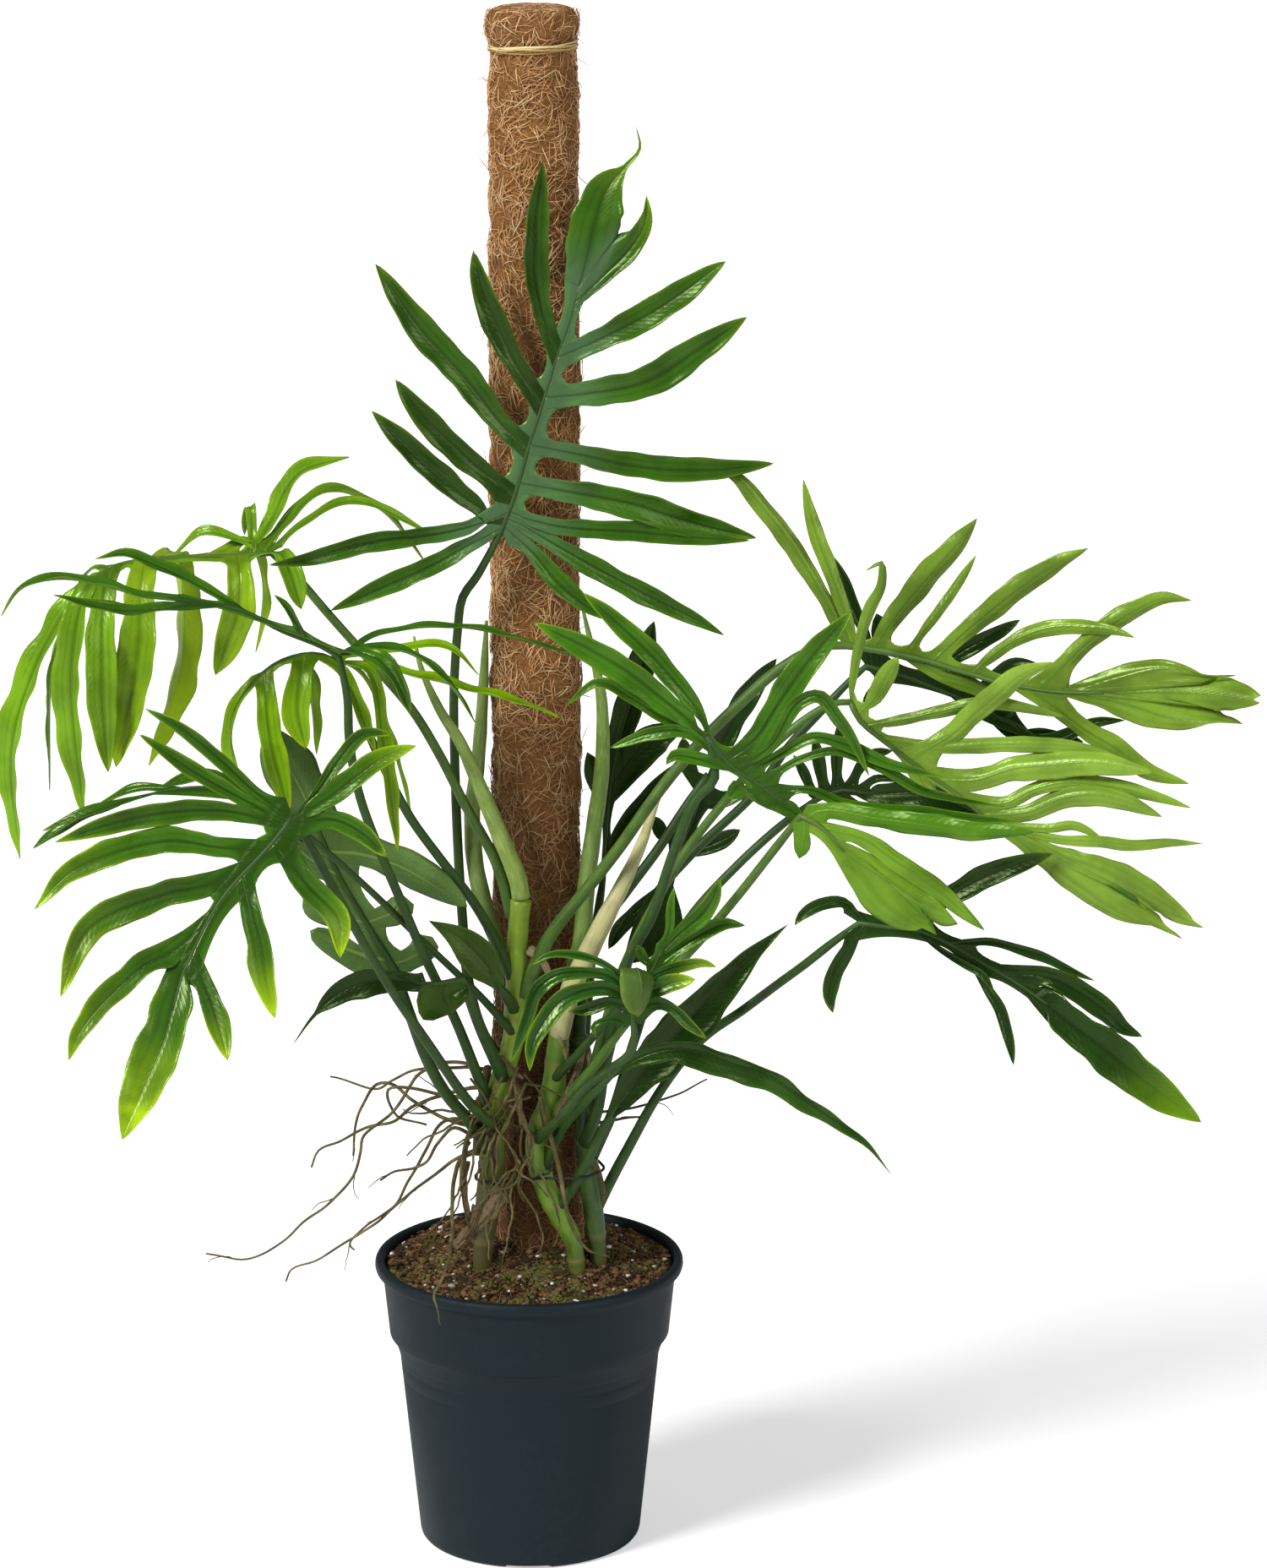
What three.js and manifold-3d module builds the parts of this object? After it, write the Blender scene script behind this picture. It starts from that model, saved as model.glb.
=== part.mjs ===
// A climbing aroid with cut leaves on a coir pole, in its nursery pot.
// Millimetres, +Z up, the pot's foot on z = 0 and its middle on the z axis, front towards -Y.
//
// The plant is laid out as it is seen from the front: a point is written [x, z, y], where x and z are
// read in the plane of the pole (y = 0) and y is how far behind that plane the point lies, so it is
// negative in front of the pole. seen() moves the point along the line of sight to that depth.

import * as THREE from 'three';
import { mergeVertices } from 'three/addons/utils/BufferGeometryUtils.js';
import Module from 'manifold-3d';

const wasm = await Module();
wasm.setup();

// Sizes that drive the rest.
const rimAcross = 240;
const potTall = 227;
const poleAxis = 7;
const poleAcross = 68;
const poleTop = 1195;
const stakeAcross = 24;
const gap = 0.3;
const bladeThick = 0.9;
const eye = new THREE.Vector3(81.3, -4000, 1600);

const deepGreen = '#1f4a24';
const midGreen = '#3c6b2c';
const brightGreen = '#5a8f2a';
const paleGreen = '#86a648';
const limeGreen = '#8fae3c';

function seen(x, z, y) {
  return new THREE.Vector3(x, 0, z).sub(eye).multiplyScalar((y - eye.y) / -eye.y).add(eye);
}

function smoothLine(points) {
  return new THREE.CatmullRomCurve3(points, false, 'centripetal');
}

// ---- bodies: closed triangle meshes and what joins or cuts them

function solidFrom(positions, triangles) {
  const solid = new wasm.Manifold(new wasm.Mesh({
    numProp: 3,
    vertProperties: new Float32Array(positions),
    triVerts: new Uint32Array(triangles),
  }));
  return solid.volume() < 0 ? solidFrom(positions, flipped(triangles)) : solid;
}

function flipped(triangles) {
  const out = [];
  for (let i = 0; i < triangles.length; i += 3) out.push(triangles[i], triangles[i + 2], triangles[i + 1]);
  return out;
}

function solidFromGeometry(geometry) {
  geometry.deleteAttribute('normal');
  geometry.deleteAttribute('uv');
  const merged = mergeVertices(geometry, 1e-3);
  return solidFrom(merged.attributes.position.array, merged.index.array);
}

function joined(solids) {
  return solids.reduce((all, solid) => all.add(solid));
}

// The piece of a cut body that holds the most: what a cut leaves loose is dropped.
function mainPiece(solid) {
  const pieces = solid.decompose();
  return pieces.reduce((best, piece) => (piece.volume() > best.volume() ? piece : best));
}

function clearOf(solid, others) {
  return mainPiece(others.reduce((left, other) => left.subtract(other), solid));
}

// A round bar along points, with a radius at each point and flat ends.
function bar(points, radii, sides = 6, steps = Math.round(points.length * 1.4)) {
  const line = smoothLine(points);
  const positions = [];
  const triangles = [];
  let across = new THREE.Vector3(0.3, -1, 0.1);
  for (let i = 0; i < steps; i++) {
    const t = i / (steps - 1);
    const middle = line.getPoint(t);
    const along = line.getTangent(t);
    across.addScaledVector(along, -across.dot(along)).normalize();
    const up = along.clone().cross(across);
    const place = t * (radii.length - 1);
    const low = Math.min(Math.floor(place), radii.length - 2);
    const radius = radii[low] + (radii[low + 1] - radii[low]) * (place - low);
    for (let k = 0; k < sides; k++) {
      const turn = 2 * Math.PI * k / sides;
      const p = middle.clone();
      p.addScaledVector(across, radius * Math.cos(turn));
      p.addScaledVector(up, radius * Math.sin(turn));
      positions.push(p.x, p.y, p.z);
    }
  }
  for (let i = 0; i < steps - 1; i++) {
    for (let k = 0; k < sides; k++) {
      const a = i * sides + k;
      const b = i * sides + (k + 1) % sides;
      triangles.push(a, b, a + sides, b, b + sides, a + sides);
    }
  }
  const last = (steps - 1) * sides;
  for (let k = 1; k < sides - 1; k++) {
    triangles.push(0, k + 1, k);
    triangles.push(last, last + k, last + k + 1);
  }
  return solidFrom(positions, triangles);
}

function turned(profile, segments, x = 0) {
  const geometry = new THREE.LatheGeometry(profile.map(([r, z]) => new THREE.Vector2(r, z)), segments);
  geometry.rotateX(Math.PI / 2);
  return solidFromGeometry(geometry).translate([x, 0, 0]);
}

// ---- leaves

function lobe(at, wide, points, extra = {}) {
  return { at, wide, points, away: 0, turn: 0, ...extra };
}

// A blade's middle sheet, made into a body by two faces either side of it and the edge between them.
class Sheet {
  constructor() {
    this.points = [];
    this.thick = [];
    this.triangles = [];
  }

  add(point, thick) {
    this.points.push(point);
    this.thick.push(thick);
    return this.points.length - 1;
  }

  // Fills between two rows of points, which may differ in number.
  stitch(inner, outer) {
    let i = 0;
    let j = 0;
    while (i < inner.length - 1 || j < outer.length - 1) {
      const nextInner = i < inner.length - 1 ? (i + 1) / (inner.length - 1) : 2;
      const nextOuter = j < outer.length - 1 ? (j + 1) / (outer.length - 1) : 2;
      if (nextInner <= nextOuter) this.triangles.push(inner[i], inner[++i], outer[j]);
      else this.triangles.push(inner[i], outer[j + 1], outer[j++]);
    }
  }

  solid() {
    const normals = this.points.map(() => new THREE.Vector3());
    const tri = this.triangles;
    for (let i = 0; i < tri.length; i += 3) {
      const [a, b, c] = [this.points[tri[i]], this.points[tri[i + 1]], this.points[tri[i + 2]]];
      const normal = b.clone().sub(a).cross(c.clone().sub(a));
      for (let k = 0; k < 3; k++) normals[tri[i + k]].add(normal);
    }
    const count = this.points.length;
    const positions = [];
    for (const side of [0.5, -0.5]) {
      this.points.forEach((point, i) => {
        const p = point.clone().addScaledVector(normals[i].normalize(), side * this.thick[i]);
        positions.push(p.x, p.y, p.z);
      });
    }
    const all = [];
    const edges = new Set();
    for (let i = 0; i < tri.length; i += 3) {
      const [a, b, c] = [tri[i], tri[i + 1], tri[i + 2]];
      all.push(a, b, c, a + count, c + count, b + count);
      for (const [p, q] of [[a, b], [b, c], [c, a]]) edges.add(`${p} ${q}`);
    }
    for (const edge of edges) {
      const [a, b] = edge.split(' ').map(Number);
      if (!edges.has(`${b} ${a}`)) all.push(b, a, a + count, b, a + count, b + count);
    }
    return solidFrom(positions, all);
  }
}

// How wide a lobe is along its length, 0 at the root to 1 at the tip.
function lobeWidth(t) {
  const swell = 0.5 + 0.5 * Math.sin(Math.PI * Math.min(1, t / 0.55) * 0.5);
  const taper = t < 0.55 ? 1 : Math.sqrt(Math.max(0, 1 - ((t - 0.55) / 0.45) ** 1.8));
  return swell * taper;
}

// A blade along a line: rows at right angles to it, troughed along the middle if it is wide.
// The first row lies along `across`, the later ones follow the line without twisting but for `turn`.
function blade(line, across, { wide, turn = 0, rows, widthAt = lobeWidth, tip = true, middle = 1.1 }) {
  const sheet = new Sheet();
  const spread = wide > 20 ? [-1, 0, 1] : [-1, 1];
  let side = across;
  let inner = null;
  for (let i = 0; i <= rows; i++) {
    const t = i / rows;
    const centre = line.getPoint(t);
    const along = line.getTangent(t);
    side = side.clone().addScaledVector(along, -side.dot(along)).normalize();
    const angle = THREE.MathUtils.degToRad(turn) * Math.min(1, t * 2);
    const lie = side.clone().applyAxisAngle(along, angle);
    const half = wide / 2 * widthAt(t) / Math.cos(angle);
    const sink = along.clone().cross(lie).multiplyScalar(-0.15 * half);
    const next = tip && i === rows
      ? [sheet.add(centre, bladeThick * 0.75)]
      : spread.map((k) => {
        const point = centre.clone().addScaledVector(lie, k * half);
        return sheet.add(k === 0 ? point.add(sink) : point, bladeThick * (k === 0 ? middle : 0.85));
      });
    if (inner) sheet.stitch(inner, next);
    inner = next;
  }
  return sheet.solid();
}

// A leaf is its stalk, a web along the rib, and a blade for each lobe and for the end.
function leafSolid(leaf) {
  const [baseX, baseZ] = leaf.rib[0];
  const place = ([x, z, y = 0]) => seen(
    x, z, leaf.near + leaf.lean[0] * (x - baseX) + leaf.lean[1] * (z - baseZ) + y);
  const ribLine = smoothLine(leaf.rib.map(place));
  const ribLong = ribLine.getLength();
  const face = new THREE.Vector3(...leaf.face).normalize();
  const solids = [];

  const endAt = leaf.lobes.length ? 0.93 : 0.2;
  const parts = [...leaf.lobes, { at: endAt, away: 0, turn: 0, ...leaf.end }];
  parts.forEach((part, i) => {
    const root = ribLine.getPoint(part.at);
    const count = part.points.length;
    const path = part.points.map(([x, z, y = 0], k) =>
      place([x, z, y + part.away * ((k + 1) / count) ** 2]));
    const sunk = part.at > 0.06 && part.at < 0.9 && leaf.web > 7 ? 0.45 * leaf.web : 0;
    const start = root.clone().lerp(path[0], Math.min(0.6, sunk / root.distanceTo(path[0])));
    const line = smoothLine([start, ...path]);
    const across = path[0].clone().sub(root).cross(face).normalize();
    const tilt = part.turn || (i % 2 ? 9 : -9);
    const rows = THREE.MathUtils.clamp(Math.round(line.getLength() / 36), 2, 4);
    solids.push(blade(line, across, { wide: part.wide, turn: tilt, rows }));
  });

  if (leaf.lobes.length) {
    const rows = THREE.MathUtils.clamp(Math.round(ribLong / 32), 1, 6);
    const across = ribLine.getTangent(0).cross(face).normalize();
    const widthAt = (t) => 0.55 + 0.45 * Math.sin(Math.PI * (0.1 + 0.8 * t));
    solids.push(blade(ribLine, across, { wide: leaf.web * 2, rows, widthAt, tip: false, middle: 2.4 }));
  }

  const stalk = leaf.stalk.map(([x, z, y]) => seen(x, z, y));
  const joint = [...stalk, ribLine.getPoint(0)];
  const arrives = joint.at(-1).clone().sub(joint.at(-2));
  if (arrives.dot(ribLine.getTangent(0)) > 0) joint.push(ribLine.getPoint(Math.min(1, 10 / ribLong)));
  const thick = leaf.stalkThick;
  solids.push(bar(joint, [thick * 1.15, thick, thick * 0.92, thick * 0.85, thick * 0.55],
    5, Math.min(9, joint.length)));
  return joined(solids);
}

function leaf(name, colour, spec) {
  return { name, colour, lean: [0, 0], face: [0, -1, 0.2], web: 9, stalkThick: 4, ...spec };
}

const leaves = [
  leaf('leaf_crown', deepGreen, {
    near: -64, lean: [0.06, 0.05],
    stalk: [[-18, 378, -52], [-36, 410, -44], [-46, 450, -38], [-50, 500, -34], [-53, 556, -30],
      [-55, 632, -32], [-55, 678, -36], [-52, 723, -42], [-48, 750, -50], [-36, 768, -58]],
    rib: [[-18, 802], [-7, 832], [2, 864], [13, 898], [24, 934], [34, 962], [39.5, 983]],
    lobes: [
      lobe(0, 15, [[5, 785], [24, 762], [42, 746], [60, 733]], { away: -8 }),
      lobe(0.06, 17, [[44, 778], [82, 757], [127, 734], [150, 721]]),
      lobe(0.13, 16, [[30, 804], [80, 801], [120, 797], [169, 794]]),
      lobe(0.2, 22, [[40, 830], [80, 822], [120, 809], [174, 796]], { away: 10 }),
      lobe(0.35, 20, [[40, 860], [90, 850], [140, 848], [187, 853]]),
      lobe(0.54, 24, [[45, 906], [90, 915], [130, 940], [166, 964]], { away: 8 }),
      lobe(0.74, 22, [[45, 942], [100, 970], [150, 1006]]),
      lobe(0.96, 15, [[64, 1002], [86, 1028], [91, 1053]], { away: -6 }),
      lobe(0, 16, [[-40, 792], [-70, 775], [-110, 757], [-148, 740]], { away: -6 }),
      lobe(0.06, 15, [[-60, 800], [-120, 792], [-160, 781], [-194, 775]], { away: -44 }),
      lobe(0.13, 18, [[-38, 822], [-70, 848], [-95, 872], [-115, 893]]),
      lobe(0.21, 19, [[-30, 845], [-60, 872], [-82, 897], [-97, 917]], { away: 10 }),
      lobe(0.35, 22, [[-15, 880], [-45, 918], [-80, 957], [-111, 1004]]),
      lobe(0.54, 19, [[-5, 925], [-22, 960], [-33, 990], [-38, 1014]], { away: 6 }),
      lobe(0.78, 18, [[14, 965], [8, 1000], [9, 1040], [14, 1080]]),
    ],
    end: { wide: 29, points: [[47, 1020], [60, 1058], [83, 1106]] },
  }),
  leaf('leaf_left_high', brightGreen, {
    near: -70, lean: [0.12, 0], face: [0, -0.35, 1],
    stalk: [[-12, 500, -52], [-23, 541, -50], [-48, 590, -54], [-66, 627, -58], [-87, 663, -62],
      [-115, 697, -66], [-150, 738, -68], [-175, 768, -69]],
    rib: [[-192, 785], [-220, 783], [-260, 782], [-289, 780], [-311, 775], [-322, 767]],
    lobes: [
      lobe(0, 17, [[-184, 784, -16], [-178, 770, -26], [-170, 741, -28]]),
      lobe(0.2, 23, [[-216, 772, -18], [-218, 740, -28], [-236, 690, -26]]),
      lobe(0.58, 26, [[-290, 764, -18], [-294, 710, -34], [-313, 618, -30]]),
      lobe(0.8, 20, [[-318, 756, -20], [-322, 690, -40], [-319, 614, -40]]),
      lobe(0.93, 22, [[-332, 756, -14], [-345, 690, -22], [-338, 579, -20]]),
      lobe(0, 8, [[-170, 805, 8], [-130, 824, 14], [-64, 795, 14]], { side: 1 }),
      lobe(0.05, 12, [[-180, 808, 12], [-150, 832, 24], [-110, 818, 30], [-75, 776, 30]], { side: 1 }),
      lobe(0.1, 16, [[-192, 808, 14], [-170, 845, 30], [-132, 858, 34]], { side: 1 }),
      lobe(0.17, 9, [[-206, 800, 12], [-207, 820, 18], [-212, 798, 34]], { side: 1 }),
      lobe(0.27, 13, [[-208, 792, 22], [-198, 750, 36], [-205, 708, 34]], { side: 1 }),
      lobe(0.2, 10, [[-222, 796, 10], [-242, 800, 18], [-268, 780, 26]]),
      lobe(0.58, 24, [[-264, 784, 18], [-261, 700, 34], [-288, 619, 30]], { side: 1 }),
      lobe(0.92, 11, [[-330, 770, 14], [-358, 700, 22], [-364, 600, 20]], { side: 1 }),
    ],
    end: { wide: 26, points: [[-345, 744], [-375, 690], [-392, 630], [-388, 546]] },
  }),
  leaf('leaf_left_middle', midGreen, {
    near: -152, lean: [0.15, 0], face: [0, -0.35, 1], web: 6,
    stalk: [[-28, 345, -52], [-40, 375, -66], [-55, 415, -90], [-80, 470, -118], [-100, 520, -132],
      [-112, 550, -138], [-128, 597, -143], [-135, 640, -147], [-136, 672, -150]],
    rib: [[-142, 705], [-155, 713], [-187, 726], [-213, 740], [-250, 747], [-290, 751]],
    lobes: [
      lobe(0, 9, [[-110, 722, 12], [-50, 727, 20], [0, 716, 22], [45, 702, 22]], { side: 1 }),
      lobe(0.3, 7, [[-180, 740, 8], [-190, 752, 14]], { side: 1 }),
      lobe(0.6, 11, [[-245, 758, 12], [-280, 775, 22], [-302, 783, 26], [-325, 780, 26]], { side: 1 }),
      lobe(0, 11, [[-118, 712, -6], [-85, 705, -12], [-58, 682, -14], [-39, 653, -14]], { side: -1 }),
      lobe(0.12, 15, [[-128, 708, -18], [-112, 702, -28], [-100, 688, -30], [-88, 659, -32]],
        { side: -1 }),
      lobe(0.75, 14, [[-268, 742, -12], [-310, 740, -22], [-357, 752, -24]], { side: -1 }),
    ],
    end: { wide: 12, points: [[-330, 762], [-356, 764], [-381, 757], [-397, 736]] },
  }),
  leaf('leaf_left_low', limeGreen, {
    near: -112, lean: [0.05, 0], face: [0, -0.5, 1], web: 6,
    stalk: [[-12, 452, -56], [-28, 488, -66], [-43, 514, -74], [-68, 548, -86], [-90, 580, -94],
      [-112, 625, -102], [-128, 665, -108]],
    rib: [[-140, 700], [-160, 707], [-187, 701], [-208, 684], [-222, 662]],
    lobes: [
      lobe(0, 13, [[-120, 694, -8], [-110, 640, -14], [-99, 551, -14]], { side: -1 }),
      lobe(0.15, 12, [[-138, 690, -12], [-127, 660, -22], [-115, 630, -24]], { side: -1 }),
      lobe(0.42, 22, [[-170, 692, -12], [-174, 665, -18], [-168, 632, -18]], { side: -1 }),
      lobe(0.78, 18, [[-198, 676, -10], [-195, 640, -14], [-182, 582, -12]], { side: -1 }),
      lobe(0, 13, [[-100, 694, 10], [-40, 678, 14], [0, 667, 14], [27, 656, 14]], { side: 1 }),
      lobe(0.1, 8, [[-110, 708, 14], [-60, 712, 20], [-36, 690, 20]], { side: 1 }),
      lobe(0.2, 10, [[-125, 690, 22], [-104, 640, 30], [-87, 574, 30]], { side: 1 }),
      lobe(0.5, 12, [[-164, 690, 18], [-162, 665, 26], [-160, 628, 26]], { side: 1 }),
    ],
    end: { wide: 17, points: [[-225, 640], [-220, 612], [-211, 578]] },
  }),
  leaf('leaf_front_left', deepGreen, {
    near: -215, lean: [0.05, 0.32], face: [-0.1, -1, 0.35],
    stalk: [[-22, 328, -54], [-45, 350, -90], [-75, 395, -130], [-110, 450, -165],
      [-145, 515, -195], [-165, 555, -208]],
    rib: [[-179, 580], [-191, 563], [-206, 546], [-224, 527], [-241, 504], [-256, 475], [-266, 452],
      [-274, 425]],
    lobes: [
      lobe(0, 11, [[-205, 597], [-235, 625], [-262, 648], [-290, 664]], { away: 10 }),
      lobe(0.05, 12, [[-215, 592], [-248, 611], [-295, 644]]),
      lobe(0.12, 17, [[-225, 583], [-270, 583], [-320, 573], [-361, 559]]),
      lobe(0.22, 22, [[-235, 555], [-276, 560], [-346, 537], [-378, 506]], { away: 10 }),
      lobe(0.36, 22, [[-250, 524], [-277, 518], [-337, 490], [-360, 436]]),
      lobe(0.62, 20, [[-270, 474], [-297, 459], [-343, 411], [-355, 385]], { away: 8 }),
      lobe(0, 11, [[-160, 598], [-142, 625], [-124, 644], [-101, 644]], { away: 8 }),
      lobe(0.06, 18, [[-155, 591], [-131, 609], [-109, 625], [-84, 635]], { away: -8 }),
      lobe(0.13, 15, [[-170, 575], [-148, 577], [-127, 567], [-107, 547]]),
      lobe(0.22, 19, [[-183, 545], [-167, 523], [-146, 499], [-144, 467]]),
      lobe(0.38, 20, [[-212, 505], [-205, 477], [-201, 447], [-195, 419]]),
      lobe(0.78, 17, [[-253, 456], [-247, 440], [-239, 414], [-232, 385]], { away: -8 }),
    ],
    end: { wide: 35, points: [[-281, 400], [-297, 362], [-315, 321]] },
  }),
  leaf('leaf_left_thin', midGreen, {
    near: -165, face: [0, -0.6, 1], web: 4, stalkThick: 3,
    stalk: [[-12, 408, -58], [-40, 440, -78], [-80, 480, -109], [-130, 530, -136], [-175, 570, -158]],
    rib: [[-205, 590], [-240, 602], [-275, 600], [-310, 590]],
    lobes: [
      lobe(0.2, 7, [[-240, 611, 8], [-279, 603, 10]], { side: 1 }),
      lobe(0.6, 7, [[-300, 600, 8], [-332, 584, 10]], { side: 1 }),
      lobe(0.85, 7, [[-330, 583, -8], [-370, 568, -10]], { side: -1 }),
    ],
    end: { wide: 8, points: [[-345, 576], [-378, 554]] },
  }),
  leaf('leaf_left_pale', paleGreen, {
    near: -100, lean: [0.05, 0.12], web: 14, stalkThick: 5,
    stalk: [[-30, 312, -50], [-46, 336, -60], [-63, 357, -75], [-78, 385, -88], [-89, 415, -96]],
    rib: [[-99, 443], [-111, 463], [-131, 513], [-158, 560]],
    lobes: [
      lobe(0.1, 20, [[-118, 455], [-132, 450]]),
      lobe(0.4, 22, [[-142, 497], [-168, 489]]),
      lobe(0.7, 24, [[-158, 528], [-173, 515]]),
      lobe(0.2, 24, [[-88, 476], [-71, 480]]),
      lobe(0.55, 24, [[-108, 514], [-91, 511]]),
      lobe(0.88, 26, [[-134, 565], [-122, 574]]),
    ],
    end: { wide: 50, points: [[-175, 592], [-190, 622], [-203, 648]] },
  }),
  leaf('leaf_left_dark', deepGreen, {
    near: -125, web: 10, stalkThick: 5,
    stalk: [[-19, 370, -54], [-26, 386, -72], [-37, 412, -96]],
    rib: [[-52, 446], [-70, 441], [-85, 444]],
    lobes: [
      lobe(0.5, 30, [[-64, 428], [-62, 418]]),
      lobe(0.6, 20, [[-72, 454], [-80, 464]]),
    ],
    end: { wide: 21, points: [[-102, 452], [-126, 449], [-147, 438], [-165, 421], [-182, 397]] },
  }),
  leaf('leaf_left_short', midGreen, {
    near: -80, web: 8, stalkThick: 5,
    stalk: [[-10, 426, -56], [-15, 434, -70]],
    rib: [[-20, 442], [-30, 457]],
    lobes: [],
    end: { wide: 28, points: [[-42, 472], [-57, 486], [-76, 497]] },
  }),
  leaf('leaf_right_high', paleGreen, {
    near: -72, lean: [-0.28, 0.06], web: 8, stalkThick: 5,
    stalk: [[-4, 438, -56], [12, 475, -66], [22, 492, -68], [44, 520, -72], [72, 557, -77],
      [97, 594, -81], [116, 619, -82], [140, 646, -80], [161, 667, -78], [191, 694, -75],
      [223, 712, -73]],
    rib: [[242, 713], [262, 710], [300, 702], [333, 692], [356, 685], [402, 677], [438, 676]],
    lobes: [
      lobe(0, 14, [[230, 742], [212, 773], [196, 798], [180, 818], [160, 842], [133, 858]], { away: -14 }),
      lobe(0.07, 13, [[240, 742], [230, 770], [220, 795], [213, 820], [209, 841]], { away: 6 }),
      lobe(0.2, 19, [[277, 733], [290, 750], [311, 775], [330, 797], [340, 811]]),
      lobe(0.3, 8, [[301, 724], [311, 738], [322, 754], [340, 783]], { away: 8 }),
      lobe(0.4, 18, [[324, 716], [345, 735], [372, 757], [400, 776], [424, 788]]),
      lobe(0.55, 12, [[352, 704], [372, 718], [398, 727], [424, 727], [447, 724], [461, 719]],
        { away: -6 }),
      lobe(0.78, 16, [[402, 692], [420, 711], [437, 725], [458, 739], [480, 749], [503, 748]],
        { away: 6 }),
      lobe(0.97, 18, [[462, 686], [492, 692], [519, 687]]),
      lobe(0.35, 13, [[315, 690], [335, 684], [358, 671]], { away: 8 }),
      lobe(0.76, 15, [[402, 665], [424, 648], [450, 632], [472, 615], [505, 605]]),
      lobe(0.97, 20, [[462, 668], [497, 657], [527, 654]]),
    ],
    end: { wide: 24, points: [[480, 677], [520, 675], [552, 671]] },
  }),
  leaf('leaf_right_middle', paleGreen, {
    near: -118, lean: [-0.28, 0.06], web: 8,
    stalk: [[42, 356, -38], [52, 385, -58], [60, 415, -72], [72, 455, -90], [95, 505, -104],
      [120, 550, -112], [150, 590, -117], [185, 632, -120], [215, 658, -120], [233, 668, -119]],
    rib: [[246, 669], [253, 655], [270, 640], [300, 617], [331, 595], [351, 578], [380, 565]],
    lobes: [
      lobe(0, 9, [[249, 695], [253, 715], [260, 740], [269, 760], [268, 777], [257, 771]],
        { side: -1 }),
      lobe(0.1, 15, [[264, 672], [272, 688], [282, 704]], { away: -6, side: -1 }),
      lobe(0.22, 11, [[290, 656], [315, 662], [352, 668], [380, 664], [410, 657]],
        { away: 16, side: -1 }),
      lobe(0.33, 12, [[315, 634], [350, 636], [400, 636], [425, 633], [453, 625]],
        { away: 16, side: -1 }),
      lobe(0.42, 17, [[325, 645], [340, 660], [357, 675], [375, 690], [399, 700]],
        { away: -8, side: -1 }),
      lobe(0.54, 20, [[342, 608], [370, 617], [400, 620], [430, 622], [478, 614]], { side: -1 }),
      lobe(0.67, 13, [[365, 590], [385, 600], [410, 606], [440, 604], [475, 596], [507, 586]],
        { away: 16, side: -1 }),
      lobe(0.78, 16, [[382, 583], [405, 593], [430, 597], [455, 592], [485, 579]], { side: -1 }),
      lobe(0.9, 8, [[398, 570], [418, 572], [441, 561]], { away: 6, side: -1 }),
      lobe(0.97, 9, [[410, 561], [437, 560], [463, 557], [490, 559], [516, 558]],
        { away: 12, side: -1 }),
      lobe(0.5, 12, [[304, 603], [312, 594]], { side: 1 }),
      lobe(0.97, 20, [[404, 542], [430, 520], [460, 499], [487, 490]], { side: 1 }),
    ],
    end: { wide: 25, points: [[404, 551], [432, 541], [458, 528], [485, 512], [511, 497]] },
  }),
  leaf('leaf_centre_right', midGreen, {
    near: -168, lean: [-0.2, 0], web: 9, stalkThick: 4.5,
    stalk: [[44, 318, -40], [53, 345, -52], [58, 375, -62], [66, 410, -84], [75, 461, -112],
      [95, 500, -132], [112, 551, -150], [128, 592, -162], [143, 609, -166]],
    rib: [[138, 642], [147, 629], [160, 616], [180, 603], [197, 588]],
    lobes: [
      lobe(0, 16, [[130, 662], [100, 700], [75, 725], [43, 754]], { side: -1, away: 8 }),
      lobe(0.38, 20, [[176, 642], [190, 665], [212, 698], [247, 740]], { side: -1, away: 6 }),
      lobe(0.48, 10, [[186, 635, -6], [206, 668, -10], [222, 674, -10], [236, 658, -8], [248, 640, -6],
        [261, 611, -4]], { side: -1 }),
      lobe(0.58, 9, [[196, 630], [218, 641], [240, 637], [275, 621], [319, 610]], { side: -1 }),
      lobe(0.72, 8, [[208, 624], [236, 631], [270, 618], [302, 600], [330, 593], [365, 587]],
        { side: -1, away: 14 }),
      lobe(0.92, 9, [[217, 600], [240, 590], [270, 585], [300, 583], [340, 578], [380, 575]],
        { side: -1, away: 6 }),
      lobe(0, 20, [[122, 656], [98, 676], [75, 694], [47, 711], [6, 731]], { side: 1 }),
      lobe(0.16, 9, [[126, 646], [105, 656], [80, 672], [55, 684], [30, 666]], { side: 1, away: -8 }),
      lobe(0.3, 10, [[136, 636], [120, 646], [96, 645], [63, 633]], { side: 1, away: -6 }),
      lobe(0.46, 11, [[148, 620], [128, 625], [112, 627], [106, 620]], { side: 1, away: -8 }),
      lobe(0.75, 10, [[172, 598], [162, 604], [153, 593]], { side: 1, away: -8 }),
    ],
    end: { wide: 12, points: [[203, 583], [211, 577]] },
  }),
  leaf('leaf_right_long', brightGreen, {
    near: -200, lean: [-0.28, 0.04], web: 8,
    stalk: [[16, 333, -52], [30, 355, -64], [51, 380, -80], [70, 408, -102], [100, 445, -116],
      [134, 483, -122], [160, 515, -138], [185, 548, -170]],
    rib: [[209, 580], [225, 571], [242, 552]],
    lobes: [
      lobe(0.05, 16, [[230, 584], [264, 578], [300, 573], [335, 568], [388, 567]]),
      lobe(0.55, 14, [[256, 562], [280, 545], [310, 525], [335, 503], [351, 489]], { away: 8 }),
      lobe(0.97, 22, [[264, 541], [285, 524], [308, 510], [325, 501]]),
      lobe(0.1, 12, [[212, 567], [208, 546]]),
    ],
    end: { wide: 22, points: [[256, 533], [270, 514], [286, 501], [303, 491]] },
  }),
  leaf('leaf_right_low', deepGreen, {
    near: -165, lean: [-0.2, 0.12], web: 9,
    stalk: [[50, 260, -36], [75, 310, -34], [105, 365, -34], [134, 402, -38], [165, 425, -50],
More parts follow.
